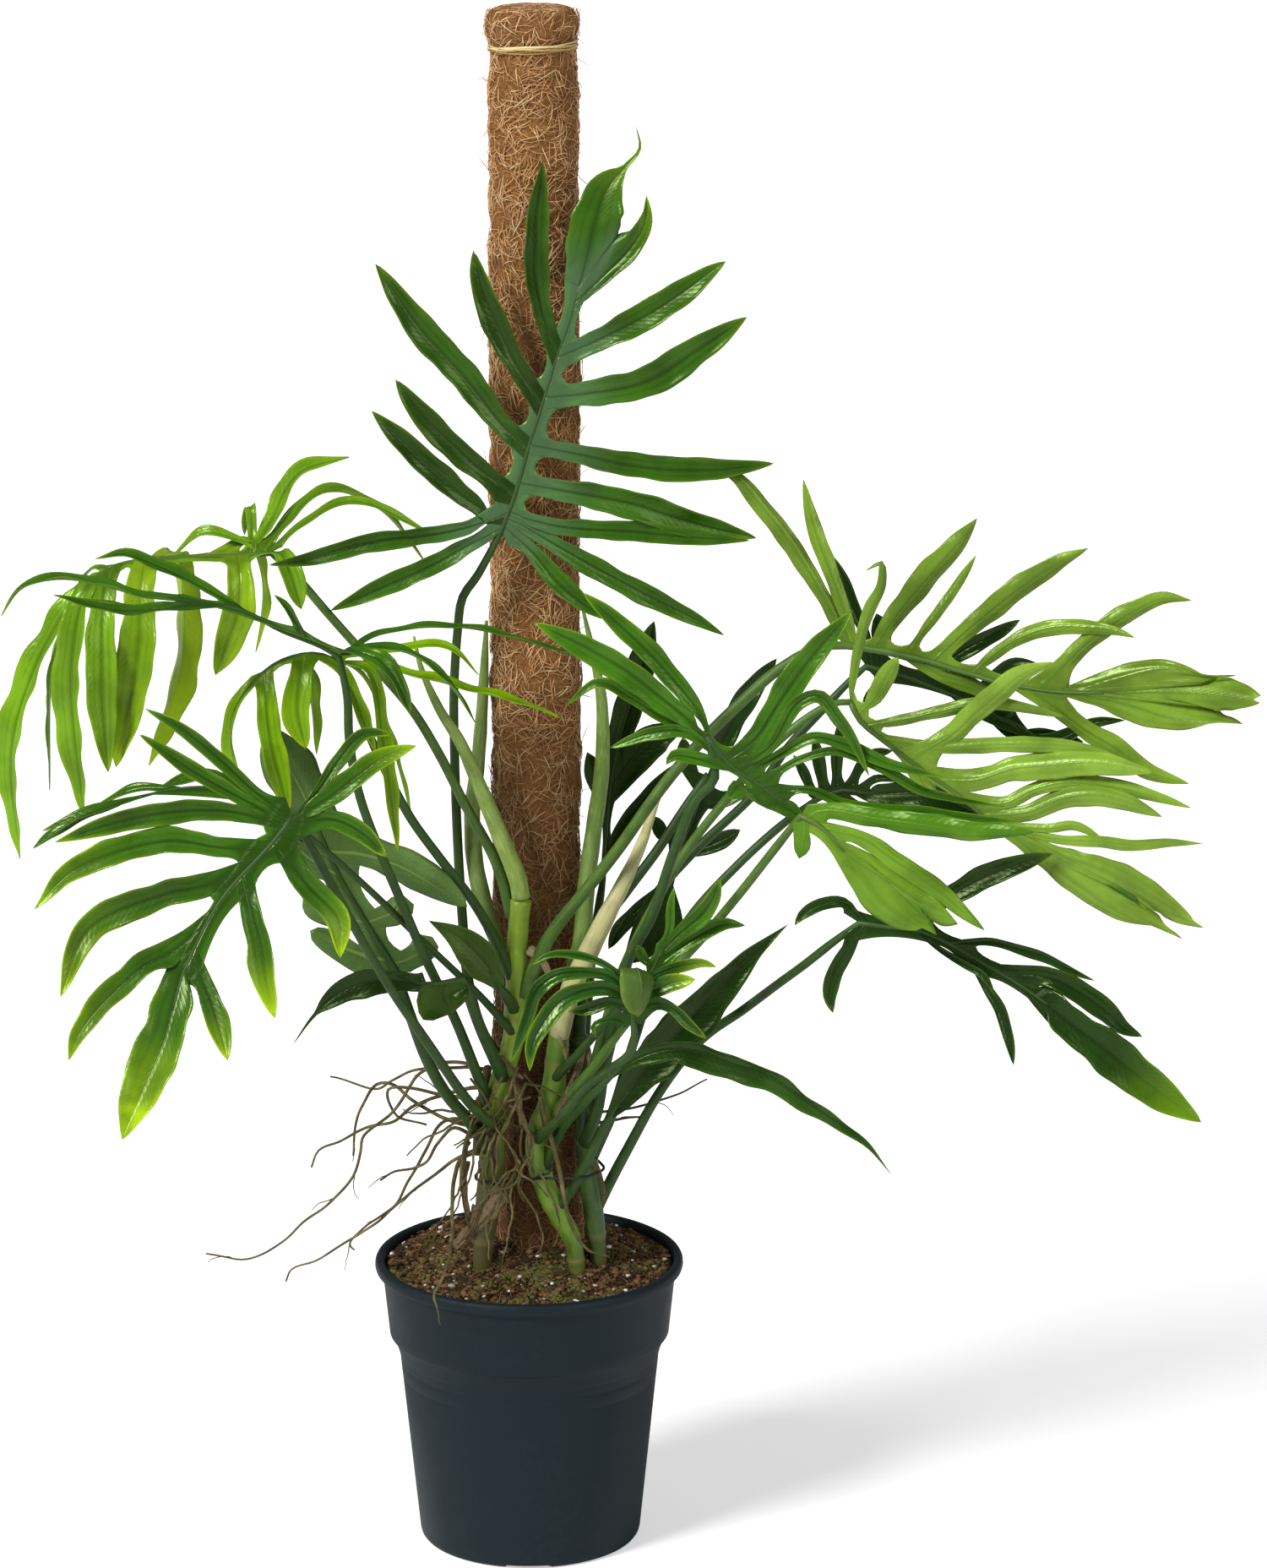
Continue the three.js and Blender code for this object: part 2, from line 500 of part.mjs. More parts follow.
      [192, 446, -96], [213, 462, -134], [235, 480, -156]],
    rib: [[255, 495], [275, 492], [300, 489], [325, 478], [350, 463], [375, 448], [400, 430]],
    lobes: [
      lobe(0, 10, [[244, 511], [225, 509], [210, 500], [205, 493]], { away: -8 }),
      lobe(0.3, 17, [[310, 508], [330, 520], [350, 531], [375, 541], [402, 550]], { away: 10 }),
      lobe(0.6, 8, [[357, 480], [375, 475], [397, 468], [418, 457], [436, 449]]),
      lobe(0.88, 18, [[400, 452], [425, 440], [445, 425], [458, 412], [474, 404]]),
      lobe(0.02, 13, [[247, 475], [236, 457], [232, 437], [235, 423]]),
      lobe(0.35, 6, [[313, 477], [336, 462], [352, 452], [360, 436]], { away: -10 }),
      lobe(0.62, 9, [[347, 455], [355, 440], [364, 424], [370, 404], [375, 381]]),
      lobe(0.9, 8, [[392, 430], [408, 414], [425, 398], [440, 383]]),
    ],
    end: { wide: 29, points: [[420, 413], [445, 395], [470, 374], [497, 353], [521, 335]] },
  }),
  leaf('leaf_right_shade', deepGreen, {
    near: -20, lean: [-0.24, 0], web: 8,
    stalk: [[47, 340, -32], [56, 370, -42], [64, 410, -48], [76, 460, -48], [90, 505, -45],
      [127, 551, -40], [175, 599, -32], [199, 634, -28], [224, 662, -24], [246, 686, -21]],
    rib: [[258, 697], [285, 690], [320, 676], [355, 660], [385, 640]],
    lobes: [
      lobe(0, 10, [[257, 720], [248, 742], [240, 763], [231, 783]], { away: 6 }),
      lobe(0.1, 16, [[269, 712], [270, 724], [265, 738]]),
      lobe(0.45, 14, [[325, 705], [345, 717], [374, 733]]),
      lobe(0.65, 8, [[355, 690], [370, 700], [388, 699]], { away: -8 }),
      lobe(0.15, 10, [[264, 678], [256, 664]]),
      lobe(0.5, 9, [[345, 660], [370, 650], [393, 638]]),
      lobe(0.8, 14, [[372, 643], [395, 640], [424, 638]], { away: 8, side: 1 }),
    ],
    end: { wide: 11, points: [[405, 640], [430, 652], [455, 655]] },
  }),
  leaf('leaf_right_back', deepGreen, {
    near: -62, lean: [-0.24, 0], web: 6,
    stalk: [[48, 305, -36], [64, 340, -38], [80, 395, -50], [100, 455, -62], [125, 500, -66],
      [160, 540, -66], [195, 573, -64]],
    rib: [[220, 592], [240, 600], [264, 597]],
    lobes: [
      lobe(0, 8, [[212, 612], [203, 628]]),
      lobe(0.2, 10, [[222, 625], [219, 643]]),
      lobe(0.42, 10, [[236, 630], [238, 655]]),
      lobe(0.65, 9, [[254, 618], [264, 628], [279, 631]], { away: 6 }),
      lobe(0.9, 7, [[268, 610], [285, 608]], { away: -6 }),
      lobe(0.6, 9, [[254, 586], [268, 584]]),
    ],
    end: { wide: 23, points: [[300, 598], [325, 590], [351, 577]] },
  }),
  leaf('leaf_back', deepGreen, {
    near: 62, lean: [0, -0.1], web: 9,
    stalk: [[40, 370, -30], [43, 395, -14], [46, 430, 2], [50, 475, 28]],
    rib: [[58, 530], [60, 565], [64, 605], [72, 645], [82, 678]],
    lobes: [
      lobe(0.15, 10, [[76, 577], [96, 601], [115, 622]]),
      lobe(0.5, 28, [[86, 633], [104, 645], [117, 645]]),
      lobe(0.45, 15, [[52, 608], [46, 630]]),
    ],
    end: { wide: 25, points: [[88, 700], [97, 732]] },
  }),
  leaf('leaf_back_right', deepGreen, {
    near: 20, web: 10, stalkThick: 4.5,
    stalk: [[39, 395, -31], [42, 440, -27], [48, 480, -15], [75, 519, 0], [99, 552, 8], [120, 585, 14]],
    rib: [[138, 612], [126, 578], [113, 543], [101, 508]],
    lobes: [
      lobe(0.05, 19, [[150, 640], [168, 675], [190, 703]], { side: -1 }),
      lobe(0.2, 11, [[148, 590], [163, 597], [178, 602]]),
      lobe(0.55, 15, [[130, 553], [147, 560], [163, 569]]),
      lobe(0.9, 14, [[112, 498], [108, 482], [98, 464]]),
      lobe(0.1, 14, [[122, 622], [119, 642]], { side: 1 }),
      lobe(0.5, 12, [[104, 565], [96, 580]]),
      lobe(0.85, 13, [[84, 505], [70, 490], [62, 474]]),
    ],
    end: { wide: 26, points: [[92, 485], [81, 463]] },
  }),
  leaf('leaf_plain_up', deepGreen, {
    near: -70, lean: [0.05, 0], stalkThick: 4.5,
    stalk: [[20, 262, -50], [34, 282, -58], [47, 307, -64], [55, 325, -68]],
    rib: [[62, 338], [70, 350]],
    lobes: [],
    end: { wide: 37, points: [[90, 378], [115, 407], [145, 440], [175, 473], [200, 494]] },
  }),
  leaf('leaf_plain_arched', midGreen, {
    near: -96, lean: [-0.25, 0],
    stalk: [[12, 298, -52], [24, 326, -62], [38, 345, -78], [50, 358, -90]],
    rib: [[62, 370], [72, 379]],
    lobes: [],
    end: {
      wide: 22, points: [[90, 389], [112, 394], [135, 390], [160, 381], [190, 370], [215, 352],
        [240, 335], [262, 318], [281, 293]],
    },
  }),
  leaf('leaf_young', midGreen, {
    near: -160, lean: [0.05, 0], web: 7, stalkThick: 3.8,
    stalk: [[7, 322, -56], [17, 331, -76], [26, 340, -92], [43, 362, -114], [60, 376, -134], [76, 388, -148],
      [82, 400, -157]],
    rib: [[81, 416], [80, 434], [79, 452]],
    lobes: [
      lobe(0.05, 5, [[62, 418], [50, 412], [53, 403]]),
      lobe(0.3, 11, [[62, 431], [45, 426], [27, 421], [16, 408]], { away: 8 }),
      lobe(0.55, 13, [[62, 443], [43, 443], [25, 432], [12, 415], [2, 397], [2, 376]],
        { away: -14 }),
      lobe(0.8, 11, [[62, 453], [43, 456], [22, 453], [7, 441], [0, 420], [-8, 398], [-14, 383]],
        { away: 14 }),
      lobe(0.97, 5, [[62, 462], [51, 466], [35, 470], [18, 470], [3, 463]]),
      lobe(0.2, 9, [[98, 432], [112, 426], [124, 414], [138, 402]]),
      lobe(0.55, 15, [[96, 441], [112, 442], [129, 449]], { away: -8 }),
      lobe(0.9, 9, [[95, 455], [118, 460], [134, 463], [145, 460]], { away: 8 }),
    ],
    end: { wide: 24, points: [[82, 466], [85, 477]] },
  }),
  leaf('leaf_young_back', midGreen, {
    near: -142, web: 6, stalkThick: 3.5,
    stalk: [[20, 370, -54], [40, 392, -80], [62, 418, -114], [80, 436, -133]],
    rib: [[92, 450], [98, 462], [103, 474]],
    lobes: [
      lobe(0.3, 13, [[111, 470], [131, 485], [151, 494], [167, 493]], { away: 8 }),
      lobe(0.8, 14, [[118, 487], [131, 499], [142, 514], [148, 531]], { away: -12 }),
      lobe(0.5, 8, [[88, 468], [84, 478]]),
    ],
    end: { wide: 7, points: [[109, 490], [110, 506], [112, 523]] },
  }),
];

// ---- canes, rolled leaves and roots, each [x, z, y] with a radius at each point

const canes = {
  cane_front: {
    colour: '#5f8f2c', sides: 10,
    points: [[-5, 513, -56], [-8, 480, -55], [-9, 439, -54], [-12, 400, -53], [-20, 371, -52],
      [-26, 340, -50], [-28, 300, -48], [-33, 262, -47], [-37, 215, -46], [-38, 160, -46]],
    radii: [8, 7.8, 8.6, 8, 9.4, 9, 9.8, 9, 8.5, 8],
  },
  cane_right: {
    colour: '#4f7f2a', sides: 10,
    points: [[25, 425, -50], [22, 385, -50], [17, 352, -50], [6, 320, -50], [12, 285, -50],
      [22, 262, -50], [34, 238, -50], [38, 205, -50], [39, 160, -50]],
    radii: [7.5, 8.6, 9.6, 8.6, 8.6, 8.2, 7.6, 7.6, 7.6],
  },
  cane_side: {
    colour: '#3f6a2a', sides: 8,
    points: [[40, 405, -30], [42, 360, -32], [46, 300, -35], [51, 255, -36], [54, 215, -36],
      [54, 160, -36]],
    radii: [6.2, 7.6, 8.2, 8, 8, 8],
  },
};

const spears = {
  spear_left: {
    colour: '#8fae55',
    points: [[-5, 515, -57], [-8, 531, -58], [-22, 567, -60], [-37, 605, -62], [-51, 638, -64],
      [-66, 663, -66], [-80, 696, -68], [-85, 720, -70]],
    radii: [7.6, 7.4, 6.8, 6, 5, 4, 2.6, 1],
  },
  spear_back: {
    colour: '#7f9c4c',
    points: [[-18.5, 466, -46], [-32, 505, -32], [-40, 541, -22], [-42, 586, -12], [-38, 617, -9],
      [-34, 663, -9], [-30, 732, -13]],
    radii: [6, 7.2, 7, 6.2, 5.4, 4, 1.4],
  },
  spear_right: {
    colour: '#5d7a34',
    points: [[25.5, 423, -49.5], [35, 455, -46], [41, 480, -40], [45, 525, -28], [51, 571, -16],
      [57, 617, -12], [57, 670, -14], [52, 700, -17], [43, 741, -20]],
    radii: [7, 7.2, 7.2, 7, 6.6, 6, 4.8, 3.2, 1.2],
  },
  spear_yellow: {
    colour: '#d8cf8c',
    points: [[24, 405, -66], [27, 420, -68], [34, 445, -71], [48, 475, -71], [60, 500, -68],
      [75, 530, -63], [88, 560, -58], [100, 595, -56], [115, 623, -56]],
    radii: [8, 8.4, 8.4, 8, 6.8, 5.4, 4, 2.6, 1.2],
  },
};

const rootTrunk = [[-40.5, 309, -44], [-38, 340, -46], [-31, 380, -46]];
const leftRoots = [
  [[-31, 376, -46], [-60, 384, -26], [-83, 375, -14], [-94, 360, -14], [-107, 342, -14],
    [-127, 326, -14], [-130, 311, -14], [-139, 287, -14], [-155, 269, -14], [-178, 251, -14],
    [-199, 233, -14], [-224, 223, -14], [-252, 228, -14]],
  [[-40, 313, -44], [-52, 308, -40], [-75, 291, -32], [-99, 271, -32], [-118, 253, -34],
    [-143, 237, -36], [-166, 221, -38], [-185, 214, -38], [-190, 205, -38]],
  [[-34, 364, -46], [-63, 358, -18], [-89, 348, -4], [-104, 336, 0], [-126, 330, 2],
    [-147, 319, 2], [-163, 312, 2], [-169, 299, 2]],
  [[-38, 332, -45], [-65, 338, -14], [-90, 353, 4], [-104, 365, 10], [-117, 366, 12],
    [-127, 352, 14], [-133, 336, 14], [-136, 308, 14]],
  [[-31, 378, -46], [-61, 379, -14], [-89, 377, 8], [-104, 369, 16], [-117, 362, 20],
    [-135, 367, 22], [-153, 372, 22]],
  [[-39, 322, -45], [-59, 330, -46], [-70, 318, -38], [-79, 303, -42], [-89, 297, -44],
    [-104, 295, -46], [-116, 288, -46]],
  [[-38, 336, -45], [-65, 336, -32], [-80, 311, -26], [-94, 287, -28], [-104, 267, -30],
    [-127, 250, -32], [-140, 235, -32], [-136, 231, -32]],
  [[-40, 311, -44], [-52, 306, -44], [-57, 291, -48], [-59, 267, -62], [-60, 247, -82],
    [-62, 223, -102], [-69, 203, -120], [-74, 193, -127], [-72, 183, -129]],
  [[-36, 350, -46], [-70, 358, -24], [-108, 361, -10], [-102, 340, -8], [-79, 333, -6]],
];
const rightRoots = [
  [[44, 340, -30], [58, 344, -18], [84, 347, -8], [101, 352, -8], [118, 359, -8], [139, 370, -8]],
  [[44, 334, -30], [60, 336, -20], [78, 339, -14], [93, 339, -12]],
];

const scraps = {
  dry_sheath_left: {
    colour: '#a89a78', wide: 11,
    points: [[-19, 281, -60], [-23, 276, -61], [-32, 260, -60], [-46, 246, -50], [-57, 233, -42]],
  },
  dry_sheath_middle: {
    colour: '#7a6648', wide: 8,
    points: [[-16, 372, -56], [-9, 362, -66], [-6, 341, -68], [1, 324, -66], [2, 305, -64]],
  },
};

function strip({ points, wide }) {
  const sheet = new Sheet();
  const line = smoothLine(points.map(([x, z, y]) => seen(x, z, y)));
  const rows = points.length + 1;
  let across = new THREE.Vector3(1, 0, 0.2);
  let inner = null;
  for (let i = 0; i <= rows; i++) {
    const t = i / rows;
    const along = line.getTangent(t);
    across = across.clone().addScaledVector(along, -across.dot(along)).normalize();
    const half = wide / 2 * (1 - 0.6 * t);
    const middle = line.getPoint(t);
    const fold = along.clone().cross(across).multiplyScalar(half * 0.6);
    const next = [-1, 0, 1].map((side) => sheet.add(
      middle.clone().addScaledVector(across, side * half).add(side === 0 ? fold : new THREE.Vector3()),
      bladeThick));
    if (inner) sheet.stitch(inner, next);
    inner = next;
  }
  return sheet.solid();
}

function barOf({ points, radii, sides = 7 }, extra = 0) {
  return bar(points.map(([x, z, y]) => seen(x, z, y)), radii.map((r) => r + extra), sides);
}

function rootBunch(paths, trunk, radius) {
  const bars = paths.map((path) => bar(path.map(([x, z, y]) => seen(x, z, y)),
    [radius * 1.2, radius, radius * 0.8], 4, Math.ceil(path.length * 0.8)));
  if (trunk) bars.push(bar(trunk.map(([x, z, y]) => seen(x, z, y)), [3.4, 3.8, 3.4], 6));
  return mainPiece(joined(bars));
}

// ---- pot, soil and pole

const rimOut = rimAcross / 2;
const potProfile = [
  [0, 0], [59, 0], [61, 6.4], [75.5, 6.4], [77.5, 0], [82.5, 0], [85.4, 1.8], [86.6, 5.5],
  [99.4, 140], [100.7, 141.4], [100.3, 143.4], [101, 149], [107.6, 163], [110, 174],
  [114, 215], [rimOut - 1.6, 217.6], [rimOut, 221], [rimOut - 0.8, 225.2], [rimOut - 3.6, potTall],
  [rimOut - 7, potTall - 1.6], [111.2, 212], [108, 174.4], [105.6, 164.4], [98.9, 150],
  [84.8, 9], [61, 8.6], [59, 2.2], [0, 2.2],
];

function makePot() {
  let pot = turned(potProfile, 32);
  for (let i = 0; i < 4; i++) {
    const shape = new THREE.Shape([[-17, -1], [17, -1], [11.5, 5], [-11.5, 5]].map(
      ([x, y]) => new THREE.Vector2(x, y)));
    const notch = new THREE.ExtrudeGeometry(shape, { depth: 16, bevelEnabled: false });
    notch.rotateX(Math.PI / 2);
    notch.translate(0, -76.5, 0);
    pot = pot.subtract(solidFromGeometry(notch).rotate([0, 0, 90 * i]));
  }
  for (let i = 0; i < 6; i++) {
    const hole = new THREE.CylinderGeometry(4.5, 4.5, 12, 8);
    hole.rotateX(Math.PI / 2);
    hole.translate(68.3, 0, 7);
    pot = pot.subtract(solidFromGeometry(hole).rotate([0, 0, 30 + 60 * i]));
  }
  return pot;
}

// The soil's top: heaped round the pole and lumpy.
function soilTop(x, y) {
  const r = Math.hypot(x - poleAxis, y);
  const heap = 32 * Math.exp(-((r / 62) ** 2));
  const lumps = 1.6 * Math.sin(x * 0.11 + 1) * Math.cos(y * 0.13) + 1.1 * Math.sin(x * 0.31 - y * 0.23);
  return 213 + heap + lumps;
}

function makeSoil() {
  const profile = [[0, 2.5], [58.8, 2.5], [60.8, 8.9], [84.4, 9.4], [98.6, 150.2],
    [105.3, 164.6], [107.7, 174.6], [110.6, 211], [92, 213], [68, 213], [48, 213], [0, 213]];
  const geometry = new THREE.LatheGeometry(profile.map(([r, z]) => new THREE.Vector2(r, z)), 32);
  geometry.rotateX(Math.PI / 2);
  const spots = geometry.attributes.position;
  for (let i = 0; i < spots.count; i++) {
    if (spots.getZ(i) > 212.9) {
      const [x, y] = [spots.getX(i), spots.getY(i)];
      const rise = Math.min(1, (112 - Math.hypot(x, y)) / 16);
      spots.setZ(i, 213 + (soilTop(x, y) - 213) * rise);
    }
  }
  return solidFromGeometry(geometry);
}

// The coir tube, with its bulged top above the band.
function coirProfile(extra, inner) {
  const r = poleAcross / 2 + extra;
  const out = [[r, 14], [r + 0.5, 300], [r - 0.5, 450], [r + 0.5, 610], [r - 0.4, 760],
    [r + 0.5, 900], [r - 0.3, 1030], [r - 0.3, 1130], [r - 2, 1156], [r - 2, 1170], [r + 0.8, 1178],
    [r + 0.8, 1187], [r - 3, 1193], [r - 10, poleTop]];
  if (!inner) return [[0, 14], ...out, [0, poleTop]];
  return [[inner, 14], ...out, [inner, poleTop], [inner, 14]];
}

function tieLoop() {
  const around = [[-40, -46], [-38.4, -56], [-28, -61], [6, -62.6], [38, -67], [44, -64], [55, -47],
    [58.5, -36], [56, -25], [44, 4], [36, 21], [22, 33.5], [7, 36.6], [-9, 32.8], [-22, 22],
    [-30, 5], [-34, -20]];
  const points = around.map(([x, y]) => new THREE.Vector3(x, y, 309 + 2.5 * Math.sin(x * 0.05)));
  const line = new THREE.CatmullRomCurve3(points, true, 'centripetal');
  const steps = 32;
  const sides = 4;
  const positions = [];
  const triangles = [];
  for (let i = 0; i < steps; i++) {
    const middle = line.getPoint(i / steps);
    const along = line.getTangent(i / steps);
    const up = new THREE.Vector3(0, 0, 1);
    up.addScaledVector(along, -up.dot(along)).normalize();
    const across = along.clone().cross(up);
    for (let k = 0; k < sides; k++) {
      const turn = 2 * Math.PI * k / sides;
      const p = middle.clone().addScaledVector(up, 1.1 * Math.cos(turn));
      p.addScaledVector(across, 1.1 * Math.sin(turn));
      positions.push(p.x, p.y, p.z);
    }
  }
  for (let i = 0; i < steps; i++) {
    for (let k = 0; k < sides; k++) {
      const next = (i + 1) % steps * sides;
      const [a, b] = [i * sides + k, i * sides + (k + 1) % sides];
      const [c, d] = [next + k, next + (k + 1) % sides];
      triangles.push(a, b, c, b, d, c);
    }
  }
  return solidFrom(positions, triangles);
}

// ---- the whole, each body in its own node

const group = new THREE.Group();

function node(name, solid, colour, roughness = 0.6) {
  const { vertProperties, triVerts } = solid.getMesh();
  const geometry = new THREE.BufferGeometry();
  geometry.setAttribute('position', new THREE.BufferAttribute(new Float32Array(vertProperties), 3));
  geometry.setIndex([...triVerts]);
  geometry.computeVertexNormals();
  const material = new THREE.MeshStandardMaterial({ color: colour, roughness, metalness: 0 });
  const mesh = new THREE.Mesh(geometry, material);
  mesh.name = name;
  group.add(mesh);
}

const poleBody = turned(coirProfile(gap, 0), 20, poleAxis);
const caneRoom = Object.values(canes).map((cane) => barOf(cane, gap));
const rightCane = clearOf(barOf(canes.cane_right), [barOf(canes.cane_front, gap)]);
const sideCane = clearOf(barOf(canes.cane_side), [barOf(canes.cane_right, gap)]);

node('pot', makePot(), '#2c3236', 0.55);
node('soil', clearOf(makeSoil(), [poleBody, ...caneRoom]), '#4a3020', 0.95);
node('pole_core', turned([[0, 14.3], [stakeAcross / 2, 14.3], [stakeAcross / 2, poleTop - 12],
  [0, poleTop - 12]], 12, poleAxis), '#a98a5c', 0.8);
const coir = turned(coirProfile(0, 0), 20, poleAxis);
const bore = turned([[0, 0], [stakeAcross / 2 + gap, 0], [stakeAcross / 2 + gap, poleTop - 11.7],
  [0, poleTop - 11.7]], 12, poleAxis);
node('pole_coir', coir.subtract(bore), '#9a7047', 0.95);
node('pole_band', turned([[32.35, 1158], [33.9, 1158], [34.4, 1163], [33.9, 1168], [32.35, 1168],
  [32.35, 1158]], 20, poleAxis), '#d9b672', 0.7);
node('plant_tie', tieLoop(), '#262b2a', 0.6);
node('cane_front', barOf(canes.cane_front), canes.cane_front.colour, 0.45);
node('cane_right', rightCane, canes.cane_right.colour, 0.45);
node('cane_side', sideCane, canes.cane_side.colour, 0.45);

for (const [name, spear] of Object.entries(spears)) {
  node(name, clearOf(barOf(spear), [poleBody, ...caneRoom]), spear.colour, 0.5);
}
for (const spec of leaves) {
  node(spec.name, clearOf(leafSolid(spec), [poleBody, ...caneRoom]), spec.colour, 0.45);
}
node('roots_left', clearOf(rootBunch(leftRoots, rootTrunk, 1.5), [poleBody, ...caneRoom]),
  '#6d6147', 0.85);
node('roots_right', clearOf(rootBunch(rightRoots, null, 1.4), [poleBody, ...caneRoom]),
  '#5c5040', 0.85);
for (const [name, scrap] of Object.entries(scraps)) {
  node(name, clearOf(strip(scrap), [poleBody, ...caneRoom]), scrap.colour, 0.9);
}

export default group;
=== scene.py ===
# A climbing aroid with cut leaves on a coir pole, in its nursery pot: the finer pieces and their finishes.
# Sizes are in millimetres until a mesh is made. As in the CAD, the plant is laid out as seen from the
# front: a point is [x, z, y], read in the plane of the pole, with y the depth behind that plane.

import math
import random

import bpy
import numpy as np
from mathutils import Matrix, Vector, noise


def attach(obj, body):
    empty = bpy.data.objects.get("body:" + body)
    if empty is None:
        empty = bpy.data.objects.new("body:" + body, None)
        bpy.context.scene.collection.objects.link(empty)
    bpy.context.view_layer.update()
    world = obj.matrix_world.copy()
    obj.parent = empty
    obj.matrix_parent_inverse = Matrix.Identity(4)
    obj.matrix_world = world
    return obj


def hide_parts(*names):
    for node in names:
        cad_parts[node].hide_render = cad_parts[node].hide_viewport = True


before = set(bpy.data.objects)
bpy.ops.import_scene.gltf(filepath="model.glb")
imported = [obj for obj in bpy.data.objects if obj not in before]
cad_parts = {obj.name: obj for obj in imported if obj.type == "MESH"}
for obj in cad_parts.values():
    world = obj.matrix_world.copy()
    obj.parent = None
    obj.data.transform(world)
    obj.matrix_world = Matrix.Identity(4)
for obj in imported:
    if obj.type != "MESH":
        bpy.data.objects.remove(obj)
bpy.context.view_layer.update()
print("frame in:", len(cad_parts), "nodes")

eye = np.array([81.3, -4000.0, 1600.0])  # where the plant is seen from
seed = 11  # for every random draw, so that each run gives the same plant
rng = random.Random(seed)
noise.seed_set(seed)
fullTurn = 2 * math.pi


def seen(x, z, y):
    return eye + (np.array([x, 0, z]) - eye) * (y - eye[1]) / -eye[1]


def unit(v):
    return v / max(np.linalg.norm(v), 1e-9)


def anyWay():
    # a random angle
    return rng.uniform(0, 6.28)


def randomStep(x, y, z):
    # a small random direction, each of x, y and z between its two ends
    return np.array([rng.uniform(*x), rng.uniform(*y), rng.uniform(*z)])


def polar(r, turn):
    return r * math.cos(turn), r * math.sin(turn)


# ---- lines and tubes

def curveAt(points, shares):
    # a soft line through the points, read at shares of the way from 0 to 1
    p = np.array(points, float)
    p = np.vstack([2 * p[0] - p[1], p, 2 * p[-1] - p[-2]])
    root = np.linalg.norm(np.diff(p, axis=0), axis=1) ** 0.5
    out = []
    for share in shares:
        place = min(max(share, 0), 1) * (len(p) - 3)
        i = min(int(place), len(p) - 4)
        u = place - i
        a, b, c, d = p[i:i + 4]
        before, here, after = root[i:i + 3]
        leave = ((b - a) / before - (c - a) / (before + here) + (c - b) / here) * here
        arrive = ((c - b) / here - (d - b) / (here + after) + (d - c) / after) * here
        out.append(b + leave * u + (3 * (c - b) - 2 * leave - arrive) * u * u
                   + (2 * (b - c) + leave + arrive) * u ** 3)
    return np.array(out)


def farAlong(line):
    return np.concatenate([[0], np.cumsum(np.linalg.norm(np.diff(line, axis=0), axis=1))])


def evenLine(points, step, start=0.0, least=2):
    # the same line at even distances from start to its end, and those distances
    fine = curveAt(points, np.linspace(0, 1, 24 * len(points)))
    far = farAlong(fine)
    count = max(least, math.ceil((far[-1] - start) / step)) + 1
    places = np.linspace(start, far[-1], count)
    return np.array([np.interp(places, far, fine[:, k]) for k in range(3)]).T, places


def headings(line):
    return np.array([unit(v) for v in np.gradient(line, axis=0)])


def barFaces(rings, sides):
    # the faces of a bar made of rings of points, closed by the two points that follow them
    faces = [(i * sides + k, i * sides + (k + 1) % sides, (i + 1) * sides + (k + 1) % sides, (i + 1) * sides + k)
             for i in range(rings - 1) for k in range(sides)]
    last, ends = (rings - 1) * sides, rings * sides
    for k in range(sides):
        n = (k + 1) % sides
        faces += [(n, k, ends), (last + k, last + n, ends + 1)]
    return faces


def tube(line, radii, sides=8, shape=None):
    # a closed round bar along a line; shape(turn) scales the radius round the bar
    line = np.asarray(line, float)
    radii = np.interp(np.linspace(0, 1, len(line)), np.linspace(0, 1, len(radii)), radii)
    ahead = headings(line)
    across = unit(np.array([0.3, -1, 0.1]))
    turns = np.linspace(0, fullTurn, sides, endpoint=False)
    scale = np.array([shape(t) for t in turns]) if shape else np.ones(sides)
    rings = []
    for middle, radius, way in zip(line, radii, ahead):
        across = unit(across - way * across.dot(way))
        up = np.cross(way, across)
        rings.append(middle + radius * scale[:, None] * (
            np.outer(np.cos(turns), across) + np.outer(np.sin(turns), up)))
    # its two ends bulge a little
    points = np.concatenate(rings + [line[:1] - ahead[0] * radii[0] * 0.3,
                                     line[-1:] + ahead[-1] * radii[-1] * 0.5])
    return points, barFaces(len(line), sides)


class Heap:
    # gathers shapes for one mesh, with the marks each point carries for its finish

    def __init__(self, *marks):
        self.points, self.faces, self.parts, self.count = [], [], [], 0
        self.marks = {mark: [] for mark in marks}

    def add(self, points, faces, part=0, **marks):
        self.points.append(points)
        self.faces += [tuple(i + self.count for i in face) for face in faces]
        self.parts += [part] * len(faces)
        for mark, kept in self.marks.items():
            kept.append(np.broadcast_to(np.asarray(marks.get(mark, 0.0), float), len(points)))
        self.count += len(points)

    def addBar(self, line, radii, sides, part=0, shape=None, **marks):
        self.add(*tube(line, radii, sides, shape), part, **marks)

    def piece(self, name, finishes, stands, slot):
        mesh = bpy.data.meshes.new(name)
        mesh.from_pydata((np.concatenate(self.points) * 0.001).tolist(), [], self.faces)
        for finish in finishes:
            mesh.materials.append(finish)
        mesh.polygons.foreach_set("material_index", self.parts)
        mesh.polygons.foreach_set("use_smooth", [True] * len(self.faces))
        for mark, kept in self.marks.items():
            spots = mesh.attributes.new(mark, "FLOAT", "POINT")
            spots.data.foreach_set("value", np.concatenate(kept).astype(np.float32))
        mesh.update()
        made = bpy.data.objects.new(name, mesh)
        bpy.context.scene.collection.objects.link(made)
        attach(made, "root")
        if stands:
            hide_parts(*stands)
        return made


# ---- shader parts

def colour(code):
    # a screen colour such as #1f4a24 as Blender's linear one
    parts = [int(code[i:i + 2], 16) / 255 for i in (1, 3, 5)]
    return [*(c / 12.92 if c < 0.04045 else ((c + 0.055) / 1.055) ** 2.4 for c in parts), 1]


